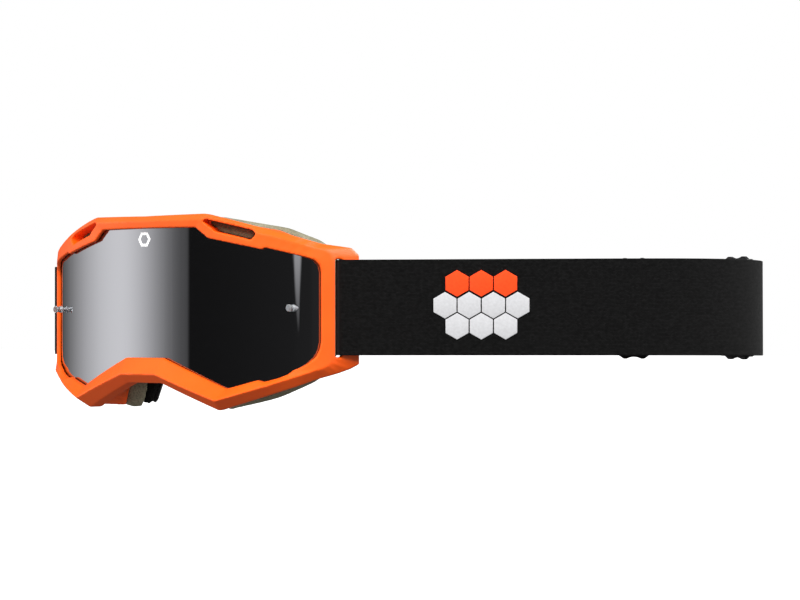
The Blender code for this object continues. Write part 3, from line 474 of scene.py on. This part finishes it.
def turned_on_post(profile, side):
    """Spins (radius, depth) pairs round the post's axis, which is parallel to Y through the lens."""
    shape = bmesh.new()
    verts = [shape.verts.new((radius, depth, 0.0)) for radius, depth in profile]
    edges = [shape.edges.new(pair) for pair in zip(verts, verts[1:])]
    bmesh.ops.spin(shape, geom=verts + edges, cent=(0, 0, 0), axis=(0, 1, 0),
                   angle=2 * math.pi, steps=POST_FACETS, use_merge=True)
    bmesh.ops.remove_doubles(shape, verts=shape.verts, dist=0.001)
    bmesh.ops.recalc_face_normals(shape, faces=shape.faces)
    x, y = face_plan(side * POST_S, LENS_FRONT)
    bmesh.ops.translate(shape, vec=(x, y, 0), verts=shape.verts)
    bmesh.ops.scale(shape, vec=(MM, MM, MM), verts=shape.verts)
    return shape


# Clear polycarbonate, moulded: see-through, bright at the rims, and slightly hazy from handling.
clear, tree, shader = new_material("clear polycarbonate, moulded")
shader.inputs["Base Color"].default_value = linear("#B4B7B9")
shader.inputs["Transmission Weight"].default_value = 0.85
shader.inputs["IOR"].default_value = 1.58
scuffs = add_node(tree, "ShaderNodeTexNoise", {"Scale": 1.5, "Detail": 3.0},
                  {"Vector": in_millimetres(tree)})
gloss = add_node(tree, "ShaderNodeMapRange", {"To Min": 0.22, "To Max": 0.38},
                 {"Value": scuffs.outputs["Fac"]})
tree.links.new(gloss.outputs[0], shader.inputs["Roughness"])
for side, word in ((1, "left"), (-1, "right")):
    post_shape = turned_on_post(POST_PROFILE, side)
    post = finish_piece(f"post_{word}", post_shape, [clear], "goggles")
    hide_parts(f"tear_off_post_{word}")
    ring_shape = turned_on_post(RING_PROFILE, side)
    ring = finish_piece(f"post_ring_{word}", ring_shape, [clear], "goggles")
    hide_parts(f"post_cap_{word}")


# ---- foams ---------------------------------------------------------------------------------------
# Die-cut polyurethane foam, glued in layers to the rear frame, with brushed fleece on the face side.
# Thin pads of the same foam close the vents to dust.

FOAM_SMOOTHING = 8


def foam_piece(name, node, material, voxel, grow):
    """A CAD foam as a soft pad: fine even mesh, edges rounded as cut foam's are, swollen by grow."""
    pad = finish_piece(name, copy_of(node), [material], None, 180.0)
    remesh = pad.modifiers.new("even mesh", "REMESH")
    remesh.mode = "VOXEL"
    remesh.voxel_size = voxel
    remesh.use_smooth_shade = True
    soften = pad.modifiers.new("soft edges", "SMOOTH")
    soften.factor = 0.5
    soften.iterations = FOAM_SMOOTHING
    swell = pad.modifiers.new("swell", "DISPLACE")
    swell.strength = grow
    swell.mid_level = 0.0
    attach(pad, "goggles")
    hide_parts(node)
    return pad


def open_cell_foam(name, light, dark):
    """Open-cell polyurethane, die-cut: a skinless surface of cells about 0.9 mm across, with painted
    shade darkening the hollow of each cell. Real cells are finer, drawn coarser so that they show."""
    made, tree, shader = new_material(name)
    place = in_millimetres(tree)
    cells = add_node(tree, "ShaderNodeTexVoronoi", {"Scale": 1.1}, {"Vector": place})
    patches = add_node(tree, "ShaderNodeTexNoise", {"Scale": 0.12, "Detail": 4.0}, {"Vector": place})
    tint = add_node(tree, "ShaderNodeValToRGB", links={0: patches.outputs["Fac"]})
    set_stops(tint, [(0.25, linear(dark)), (0.75, linear(light))])
    # Painted shade: the colour is darkened down to about half towards the middle of each cell, where its
    # hollow is.
    pore_shade = add_node(tree, "ShaderNodeMapRange", {"From Max": 0.6, "To Min": 0.5, "To Max": 1.0},
                     {"Value": cells.outputs["Distance"]})
    colour = add_node(tree, "ShaderNodeMix", {"data_type": "RGBA", "blend_type": "MULTIPLY", 0: 0.8},
                      {6: tint.outputs[0], 7: pore_shade.outputs[0]})
    bump = add_node(tree, "ShaderNodeBump", {"Strength": 0.6, "Distance": 0.0004},
                    {"Height": cells.outputs["Distance"]})
    tree.links.new(colour.outputs[2], shader.inputs["Base Color"])
    tree.links.new(bump.outputs[0], shader.inputs["Normal"])
    shader.inputs["Roughness"].default_value = 1.0
    shader.inputs["Specular IOR Level"].default_value = 0.1
    return made


grey_foam = open_cell_foam("grey open-cell foam, die-cut", "#8F8B77", "#787460")
black_foam = open_cell_foam("black open-cell foam, die-cut", "#1C1C1B", "#121211")
vent_foam = open_cell_foam("olive open-cell foam, die-cut", "#6C6B56", "#585743")

# Polyester fleece, knitted and brushed: black, with fibre ends that catch a soft rim of light.
fleece, tree, shader = new_material("black polyester fleece, brushed")
nap = add_node(tree, "ShaderNodeTexNoise",
               {"Scale": 1.6, "Detail": 6.0, "Roughness": 0.75, "Distortion": 1.2},
               {"Vector": in_millimetres(tree)})
nap_tint = add_node(tree, "ShaderNodeValToRGB", links={0: nap.outputs["Fac"]})
set_stops(nap_tint, [(0.3, linear("#0B0B0C")), (0.7, linear("#1E1E20"))])
bump = add_node(tree, "ShaderNodeBump", {"Strength": 0.7, "Distance": 0.0005},
                {"Height": nap.outputs["Fac"]})
tree.links.new(nap_tint.outputs[0], shader.inputs["Base Color"])
tree.links.new(bump.outputs[0], shader.inputs["Normal"])
shader.inputs["Roughness"].default_value = 0.95
shader.inputs["Sheen Weight"].default_value = 0.25
shader.inputs["Sheen Roughness"].default_value = 0.5
shader.inputs["Specular IOR Level"].default_value = 0.1

foam_piece("foam_base", "face_foam_base", grey_foam, 1.1 * MM, 0.35 * MM)
foam_piece("foam_middle", "face_foam_middle", black_foam, 1.1 * MM, 0.35 * MM)
foam_piece("foam_fleece", "face_fleece", fleece, 0.7 * MM, 0.4 * MM)
for word in ("left", "right"):
    foam_piece(f"brow_foam_{word}", f"brow_vent_foam_{word}", vent_foam, 0.6 * MM, 0.3 * MM)
    for wall in ("upper", "lower"):
        foam_piece(f"{wall}_foam_{word}", f"{wall}_slot_foam_{word}", grey_foam,
                   0.6 * MM, 0.2 * MM)


# ---- strap ---------------------------------------------------------------------------------------
# Two lengths of 45 mm woven elastic. Each is folded round one outrigger and sewn to itself, and its
# other end is sewn round the middle bar of a slider that rides on the other length.

STRAP_HEIGHT = 45.4
STRAP_THICKNESS = 1.6
LAYER_PITCH = 1.9
STRAP_Z = -0.4
NEAR_Z = 0.27
NEAR_Z_SPAN = (70.0, 130.0)
SLOT_START_S = 97.0
SLOT_EDGE_S = 100.6
BAR_END_S = 109.5
BAR_FRONT_D = (0.64, 2.2)
BAR_BACK_D = 5.6
WRAP_RADIUS = 1.2
BEND_CENTRE = Vector((223.2, 108.5))
BEND_RADIUS = 31.0
BEND_START = math.radians(100.0)
BEND_END = math.radians(196.0)
NEAR_HEADING = math.radians(27.0)
NEAR_HANDLES = (104.0, 40.0)
TEMPLE_RADIUS = 26.0
SEWN_LENGTH = 26.0
NEAR_SEWN_START = 16.0          # from the bar, along the strap
FAR_SEWN_START = 8.0
SEWN_LOOP_RADIUS = 2.0          # round a slider's middle bar
NEAR_STEPS = 120
TEMPLE_STEPS = 40
CORNER_STEPS = 6
BEND_STEPS = 60
SLIDER_A_HEADING = math.radians(160.0)
SLIDER_B_RUN = 34.0
SLIDER_WIDTH = 14.4


def heading(angle):
    return Vector((math.cos(angle), math.sin(angle)))


def beside(angle):
    """The outer side of the loop for a strap that runs along angle."""
    return Vector((math.sin(angle), -math.cos(angle)))


def arc_points(centre, radius, start, end, steps):
    angles = [start + (end - start) * step / steps for step in range(steps + 1)]
    return [centre + beside(angle) * radius for angle in angles]


def run_length(points):
    return sum((after - here).length for here, after in zip(points, points[1:]))


def near_level(point):
    """Height of the middle of the near half, which hangs a little lower towards its bend."""
    share = (point.y - NEAR_Z_SPAN[0]) / (NEAR_Z_SPAN[1] - NEAR_Z_SPAN[0])
    share = min(max(share, 0.0), 1.0)
    return NEAR_Z + (STRAP_Z - NEAR_Z) * share * share * (3.0 - 2.0 * share)


def far_level(_point):
    return STRAP_Z


def even(points, step):
    """The same line with points every step or less, rounded where it turns sharply."""
    line = [points[0]]
    for here, after in zip(points, points[1:]):
        pieces = max(1, math.ceil((after - here).length / step))
        line.extend(here.lerp(after, index / pieces) for index in range(1, pieces + 1))
    for _ in range(3):
        inner = [(a + b * 2 + c) / 4 for a, b, c in zip(line, line[1:], line[2:])]
        line = [line[0], *inner, line[-1]]
    return line


def lay_along(shape, points, level):
    """Lays a flat shape, with x the run, y the height and z proud of the middle, all in mm, along
    a line seen from above whose height is level(point). Its UV map is the flat shape, in mm."""
    uv_map = shape.loops.layers.uv.verify()
    for face in shape.faces:
        for loop in face.loops:
            loop[uv_map].uv = loop.vert.co.xy
    marks = [0.0]
    for here, after in zip(points, points[1:]):
        marks.append(marks[-1] + (after - here).length)
    for vert in shape.verts:
        run = min(max(vert.co.x, 0.0), marks[-1])
        index = min(max(bisect_left(marks, run), 1), len(marks) - 1)
        share = (run - marks[index - 1]) / (marks[index] - marks[index - 1])
        spot = points[index - 1].lerp(points[index], share)
        before = points[index] - points[max(index - 2, 0)]
        beyond = points[min(index + 1, len(points) - 1)] - points[index - 1]
        ahead = before.normalized().lerp(beyond.normalized(), share).normalized()
        height = vert.co.y + level(spot)
        spot = spot + Vector((ahead.y, -ahead.x)) * vert.co.z
        vert.co = Vector((spot.x, spot.y, height)) * MM


def elastic_band(name, points, level, nodes):
    """A length of elastic that stands on edge along points."""
    line = even(points, 1.0)
    length = run_length(line)
    shape = bmesh.new()
    bmesh.ops.create_grid(shape, x_segments=len(line) - 1, y_segments=12, size=1.0)
    bmesh.ops.scale(shape, vec=(length / 2, STRAP_HEIGHT / 2, 1), verts=shape.verts)
    bmesh.ops.translate(shape, vec=(length / 2, 0, 0), verts=shape.verts)
    lay_along(shape, line, level)
    piece = finish_piece(name, shape, [elastic], None, 180.0)
    thick = piece.modifiers.new("thickness", "SOLIDIFY")
    thick.thickness = STRAP_THICKNESS * MM
    thick.offset = 0.0
    thick.use_even_offset = True
    round_edges(piece, 0.3 * MM, 50.0, 2)
    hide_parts(*nodes)
    return piece


def bar_wrap(front_angle):
    """Round the strap bar, in (s, d): along its back, through the slot and over its front corner."""
    corner = Vector((SLOT_EDGE_S, BAR_FRONT_D[0]))
    back_corner = Vector((SLOT_EDGE_S, BAR_BACK_D))
    path = [Vector((BAR_END_S + 0.4, BAR_BACK_D + WRAP_RADIUS + 0.3))]
    for degrees in (90, 105, 120, 135, 150, 165, 180):
        path.append(back_corner + heading(math.radians(degrees)) * WRAP_RADIUS)
    leave = math.degrees(front_angle) + 270.0
    for step in range(CORNER_STEPS + 1):
        spoke = heading(math.radians(180.0 + (leave - 180.0) * step / CORNER_STEPS))
        path.append(corner + spoke * WRAP_RADIUS)
    return path


def shifted(points, distance):
    """The line moved sideways, towards the outer side of the loop."""
    moved = []
    for index, point in enumerate(points):
        ahead = points[min(index + 1, len(points) - 1)] - points[max(index - 1, 0)]
        moved.append(point + Vector((ahead.y, -ahead.x)).normalized() * distance)
    return moved


def stretch(points, start, end):
    """The part of a line between two distances along it."""
    line = even(points, 1.0)
    kept = []
    travelled = 0.0
    for here, after in zip(line, line[1:]):
        travelled += (after - here).length
        if start <= travelled <= end:
            kept.append(after)
    return kept


near_wrap = bar_wrap(NEAR_HEADING - OUTRIGGER_ANGLE)
curve_start = Vector(face_plan(*near_wrap[-1]))
curve_end = BEND_CENTRE + beside(BEND_START) * (BEND_RADIUS + LAYER_PITCH / 2)
first_handle = curve_start + heading(NEAR_HEADING) * NEAR_HANDLES[0]
second_handle = curve_end - heading(BEND_START) * NEAR_HANDLES[1]
near_curve = []
for step in range(NEAR_STEPS + 1):
    t = step / NEAR_STEPS
    near_curve.append(curve_start * (1 - t) ** 3 + first_handle * 3 * t * (1 - t) ** 2
                      + second_handle * 3 * t * t * (1 - t) + curve_end * t ** 3)
sewn_layer = shifted(stretch(near_curve, NEAR_SEWN_START, NEAR_SEWN_START + SEWN_LENGTH), -LAYER_PITCH)
outer_bend = arc_points(BEND_CENTRE, BEND_RADIUS + LAYER_PITCH / 2, BEND_START, BEND_END,
                        BEND_STEPS)
round_near_bar = [Vector(face_plan(*point)) for point in near_wrap]
left_line = list(reversed(sewn_layer)) + round_near_bar[:-1] + near_curve[:-1] + outer_bend


def far_line_point(run, offset):
    """A point of the straight far half, run mm past the end of the bend."""
    return BEND_CENTRE + beside(BEND_END) * (BEND_RADIUS + offset) + heading(BEND_END) * run


bar_slope = math.atan2(BAR_FRONT_D[1] - BAR_FRONT_D[0], BAR_END_S - SLOT_START_S)
far_wrap = bar_wrap(bar_slope)
for step in range(CORNER_STEPS + 1):
    leave = math.degrees(math.pi / 2 - OUTRIGGER_ANGLE) + 270.0
    from_bar = math.degrees(bar_slope) + 270.0
    spoke = heading(math.radians(from_bar + (leave - from_bar) * step / CORNER_STEPS))
    far_wrap.append(Vector((BAR_END_S, BAR_FRONT_D[1])) + spoke * WRAP_RADIUS)
round_far_bar = [Vector(face_plan(-s, d)) for s, d in far_wrap]
far_slope = BEND_END - math.pi
temple_x = round_far_bar[-1].x
far_foot = far_line_point(0.0, -LAYER_PITCH / 2)
turn_x = temple_x + TEMPLE_RADIUS
run_back = (turn_x - TEMPLE_RADIUS * math.sin(far_slope) - far_foot.x) / math.cos(far_slope)
turn_y = far_foot.y + run_back * math.sin(far_slope) - TEMPLE_RADIUS * math.cos(far_slope)
temple_turn = []
for step in range(TEMPLE_STEPS + 1):
    angle = math.pi / 2 + (far_slope - math.pi / 2) * step / TEMPLE_STEPS
    temple_turn.append(Vector((turn_x, turn_y)) - beside(angle) * TEMPLE_RADIUS)
far_sewn = [Vector((temple_x + LAYER_PITCH, round_far_bar[-1].y + back))
            for back in (SEWN_LENGTH + FAR_SEWN_START, FAR_SEWN_START)]
right_line = far_sewn + round_far_bar + temple_turn + [far_foot]


def sewn_end(centre, along, side):
    """The end of a band, turned back round a slider's middle bar."""
    outward = Vector((along.y, -along.x)) * side
    pivot = centre + outward * (LAYER_PITCH / 2 + SEWN_LOOP_RADIUS) + along * 1.0
    points = [centre + outward * (LAYER_PITCH / 2) - along * (SLIDER_WIDTH / 2 + 1.0)]
    for step in range(13):
        angle = math.radians(-90 + 15 * step)
        points.append(pivot + along * SEWN_LOOP_RADIUS * math.cos(angle)
                      + outward * SEWN_LOOP_RADIUS * math.sin(angle))
    points.append(points[-1] - along * (SLIDER_WIDTH / 2))
    return points


# Woven elastic, polyester over rubber: a dense plain weave with short floats of yarn, matt black,
# with a little grey fluff and a painted mottled sheen. Threads are 0.6 mm apart, drawn about twice as coarse
# as the real ones.
elastic, tree, shader = new_material("black elastic webbing, woven")
flat_map = add_node(tree, "ShaderNodeUVMap")
weave = add_node(tree, "ShaderNodeTexBrick",
                 {"Scale": 1.0, "Brick Width": 1.3, "Row Height": 0.62, "Mortar Size": 0.13,
                  "Mortar Smooth": 0.8, "Bias": 0.0, "Color1": linear("#1D1D1D"),
                  "Color2": linear("#131313"), "Mortar": linear("#080808")},
                 {"Vector": flat_map.outputs[0]})
# Partly painted sheen: this random mottle is grey fluff, and it also brightens the yarn in patches up to
# almost twice its colour, standing in for the strap's mottled sheen.
fluff_and_sheen = add_node(tree, "ShaderNodeTexNoise", {"Scale": 0.55, "Detail": 7.0, "Roughness": 0.8},
                {"Vector": flat_map.outputs[0]})
fluff_and_sheen_tint = add_node(tree, "ShaderNodeValToRGB", links={0: fluff_and_sheen.outputs["Fac"]})
set_stops(fluff_and_sheen_tint, [(0.35, grey(0.55)), (0.62, grey(1.0)), (0.75, grey(1.9))])
yarn = add_node(tree, "ShaderNodeMix", {"data_type": "RGBA", "blend_type": "MULTIPLY", 0: 1.0},
                {6: weave.outputs["Color"], 7: fluff_and_sheen_tint.outputs[0]})
ribs = add_node(tree, "ShaderNodeMath", {"operation": "SUBTRACT", 0: 1.0}, {1: weave.outputs["Fac"]})
bump = add_node(tree, "ShaderNodeBump", {"Strength": 0.5, "Distance": 0.00018}, {"Height": ribs.outputs[0]})
tree.links.new(yarn.outputs[2], shader.inputs["Base Color"])
tree.links.new(bump.outputs[0], shader.inputs["Normal"])
shader.inputs["Roughness"].default_value = 0.85
shader.inputs["Sheen Weight"].default_value = 0.06
shader.inputs["Sheen Roughness"].default_value = 0.4
shader.inputs["Specular IOR Level"].default_value = 0.15

left_band = elastic_band("left_band", left_line, near_level, ["strap_band_left"])
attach(left_band, "goggles")
right_band = elastic_band("right_band", right_line, far_level, ["strap_band_right"])
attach(right_band, "goggles")

slider_a_place = BEND_CENTRE + beside(SLIDER_A_HEADING) * BEND_RADIUS
slider_b_place = far_line_point(SLIDER_B_RUN, 0.0)
left_end_line = [far_line_point(0.5, LAYER_PITCH / 2)] + sewn_end(slider_b_place, heading(BEND_END), 1.0)
left_end = elastic_band("left_band_end", left_end_line, far_level, ["strap_end_left"])
inner_bend = arc_points(BEND_CENTRE, BEND_RADIUS - LAYER_PITCH / 2, BEND_END - 0.02,
                        SLIDER_A_HEADING + math.radians(16.0), 16)
right_end_line = inner_bend + sewn_end(slider_a_place, -heading(SLIDER_A_HEADING), 1.0)[1:]
right_end = elastic_band("right_band_end", right_end_line, far_level, ["strap_end_right"])


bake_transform(left_end)
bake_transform(right_end)


# ---- stitching -----------------------------------------------------------------------------------
# Black bonded nylon thread, sewn in rows across the folded ends.

STITCH_LENGTH = 2.4
STITCH_PITCH = 3.0
STITCH_WIDTH = 0.55
STITCH_MARGIN = 2.5             # free of stitches at each edge of the strap
NEAR_STITCH_RUNS = (20.0, 22.5, 38.0)
FAR_STITCH_RUNS = (12.0, 14.5, 30.0)
thread, tree, shader = new_material("black bonded nylon thread, twisted")
twist = add_node(tree, "ShaderNodeTexWave", {"Scale": 1.2, "Distortion": 0.5, "bands_direction": "DIAGONAL"},
                 {"Vector": in_millimetres(tree)})
twist_tint = add_node(tree, "ShaderNodeValToRGB", links={0: twist.outputs["Fac"]})
set_stops(twist_tint, [(0.2, linear("#0C0C0C")), (0.8, linear("#2A2A2B"))])
tree.links.new(twist_tint.outputs[0], shader.inputs["Base Color"])
shader.inputs["Roughness"].default_value = 0.5


def stitched_rows(name, points, level, runs, proud):
    """Upright rows of stitches at these runs along a line, on the side that proud points to."""
    shape = bmesh.new()
    count = int((STRAP_HEIGHT - 2 * STITCH_MARGIN) / STITCH_PITCH)
    for run in runs:
        for index in range(count):
            height = (index - (count - 1) / 2) * STITCH_PITCH
            stitch = bmesh.ops.create_uvsphere(shape, u_segments=8, v_segments=5, radius=0.5)["verts"]
            bmesh.ops.scale(shape, vec=(STITCH_WIDTH, STITCH_LENGTH, STITCH_WIDTH), verts=stitch)
            bmesh.ops.translate(shape, vec=(run, height, proud), verts=stitch)
    lay_along(shape, points, level)
    finish_piece(name, shape, [thread], "goggles", 180.0)


surface = STRAP_THICKNESS / 2
stitched_rows("near_stitches", near_curve, near_level, NEAR_STITCH_RUNS, -surface - LAYER_PITCH)
temple_line = round_far_bar[-1:] + temple_turn
stitched_rows("far_stitches", temple_line, far_level, FAR_STITCH_RUNS, surface)


# ---- sliders -------------------------------------------------------------------------------------
# Moulded black nylon, three upright bars between two scalloped lugs. The strap threads through them.

# Glass-filled nylon, moulded: black, satin, a little mottled by the fibres near its skin.
nylon, tree, shader = new_material("black glass-filled nylon, moulded")
mottle = add_node(tree, "ShaderNodeTexNoise", {"Scale": 1.2, "Detail": 5.0},
                  {"Vector": in_millimetres(tree)})
mottle_tint = add_node(tree, "ShaderNodeValToRGB", links={0: mottle.outputs["Fac"]})
set_stops(mottle_tint, [(0.3, linear("#0D0D0E")), (0.7, linear("#1A1A1C"))])
gloss = add_node(tree, "ShaderNodeMapRange", {"To Min": 0.34, "To Max": 0.55},
                 {"Value": mottle.outputs["Fac"]})
bump = add_node(tree, "ShaderNodeBump", {"Strength": 0.15, "Distance": 0.00005},
                {"Height": mottle.outputs["Fac"]})
tree.links.new(mottle_tint.outputs[0], shader.inputs["Base Color"])
tree.links.new(gloss.outputs[0], shader.inputs["Roughness"])
tree.links.new(bump.outputs[0], shader.inputs["Normal"])
for word in ("a", "b"):
    node = f"slider_{word}"
    slider = finish_piece(f"buckle_{word}", copy_of(node), [nylon], node)
    round_edges(slider, 0.35 * MM, 35.0)
    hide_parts(node)


# ---- badge ---------------------------------------------------------------------------------------
# A raised rubber print on the strap: ten honeycomb cells, the top row orange and the rest white.

CELL_RADIUS = 6.6
BADGE_RUN = 66.0
BADGE_Z = 0.93
CELL_INSET = 0.3                # half the gap between cells
CELL_HEIGHT = 0.6
CELL_SUNK = 0.1                 # into the strap
CELL_ROUNDING = 0.25
ORANGE_RISE = 0.4               # of the orange row, away from the white ones
ORANGE_CELLS = [(-1.0, 1), (0.0, 1), (1.0, 1)]
WHITE_CELLS = [(-1.5, 0), (-0.5, 0), (0.5, 0), (1.5, 0), (-1.0, -1), (0.0, -1), (1.0, -1)]


def rubber_print(name, light, dark):
    """Silicone ink, screen printed in several coats: smooth, softly glossy, edges rounded by flow."""
    made, tree, shader = new_material(name)
    place = in_millimetres(tree)
    coat = add_node(tree, "ShaderNodeTexNoise", {"Scale": 0.9, "Detail": 3.0}, {"Vector": place})
    tint = add_node(tree, "ShaderNodeValToRGB", links={0: coat.outputs["Fac"]})
    set_stops(tint, [(0.3, linear(dark)), (0.7, linear(light))])
    bump = add_node(tree, "ShaderNodeBump", {"Strength": 0.12, "Distance": 0.0001},
                    {"Height": coat.outputs["Fac"]})
    tree.links.new(tint.outputs[0], shader.inputs["Base Color"])
    tree.links.new(bump.outputs[0], shader.inputs["Normal"])
    shader.inputs["Roughness"].default_value = 0.42
    return made


def hexagon_pads(cells, rise):
    """Raised hexagons with a rounded rim, each a closed pad that stands on the strap."""
    shape = bmesh.new()
    width = math.sqrt(3.0) * CELL_RADIUS
    radius = CELL_RADIUS - CELL_INSET
    middle = surface + CELL_HEIGHT / 2 - CELL_SUNK
    for column, row in cells:
        pad = bmesh.ops.create_cone(shape, cap_ends=True, segments=6, radius1=radius, radius2=radius,
                                    depth=CELL_HEIGHT)["verts"]
        spot = (BADGE_RUN + column * width, BADGE_Z + rise + row * CELL_RADIUS * 1.5, middle)
        bmesh.ops.translate(shape, vec=spot, verts=pad)
    edges = [edge for edge in shape.edges if all(vert.co.z > surface for vert in edge.verts)]
    bmesh.ops.bevel(shape, geom=edges, offset=CELL_ROUNDING, offset_type="OFFSET", affect="EDGES",
                    segments=3, profile=0.5, material=-1)
    return shape


orange_rubber = rubber_print("orange silicone ink, screen printed", "#FF4A14", "#F8430F")
white_rubber = rubber_print("white silicone ink, screen printed", "#C2C2C4", "#B8B8BA")
for name, cells, rise, material, colour in (
        ("orange_cells", ORANGE_CELLS, ORANGE_RISE, orange_rubber, "orange"),
        ("white_cells", WHITE_CELLS, 0.0, white_rubber, "white")):
    pads = hexagon_pads(cells, rise)
    lay_along(pads, near_curve, near_level)
    bmesh.ops.recalc_face_normals(pads, faces=pads.faces)
    badge = finish_piece(name, pads, [material], "goggles", 40.0)
    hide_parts(f"badge_{colour}")


# ---- grip lines ----------------------------------------------------------------------------------
# Three lines of black silicone, printed on the inner side so that the strap doesn't slip.

GRIP_RUN = (50.0, 150.0)
GRIP_WIDTH = 2.6
GRIP_HEIGHT = 0.7
GRIP_ROUNDING = 0.3
GRIP_SPACING = 13.0
GRIP_STAND = 0.25               # from the strap's skin to the middle of the line
GRIP_STEPS = 40
silicone, tree, shader = new_material("black silicone, printed")
flow = add_node(tree, "ShaderNodeTexNoise", {"Scale": 0.7, "Detail": 2.0}, {"Vector": in_millimetres(tree)})
gloss = add_node(tree, "ShaderNodeMapRange", {"To Min": 0.18, "To Max": 0.34},
                 {"Value": flow.outputs["Fac"]})
tree.links.new(gloss.outputs[0], shader.inputs["Roughness"])
shader.inputs["Base Color"].default_value = linear("#101011")
grip_length = GRIP_RUN[1] - GRIP_RUN[0]
for word, place_up in (("upper", GRIP_SPACING), ("middle", 0.0), ("lower", -GRIP_SPACING)):
    shape = bmesh.new()
    bmesh.ops.create_cube(shape, size=1.0)
    bmesh.ops.scale(shape, vec=(grip_length, GRIP_WIDTH, GRIP_HEIGHT), verts=shape.verts)
    bmesh.ops.bevel(shape, geom=shape.edges[:], offset=GRIP_ROUNDING, offset_type="OFFSET",
                    affect="EDGES", segments=2, profile=0.5, material=-1)
    spot = (sum(GRIP_RUN) / 2, place_up, -surface - GRIP_STAND)
    bmesh.ops.translate(shape, vec=spot, verts=shape.verts)
    for step in range(1, GRIP_STEPS):
        everything = shape.verts[:] + shape.edges[:] + shape.faces[:]
        at = GRIP_RUN[0] + grip_length * step / GRIP_STEPS
        bmesh.ops.bisect_plane(shape, geom=everything, dist=MEETING, plane_co=(at, 0, 0),
                               plane_no=(1, 0, 0))
    lay_along(shape, near_curve, near_level)
    grip = finish_piece(f"grip_{word}", shape, [silicone], "goggles", 40.0)
    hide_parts(f"grip_line_{word}")
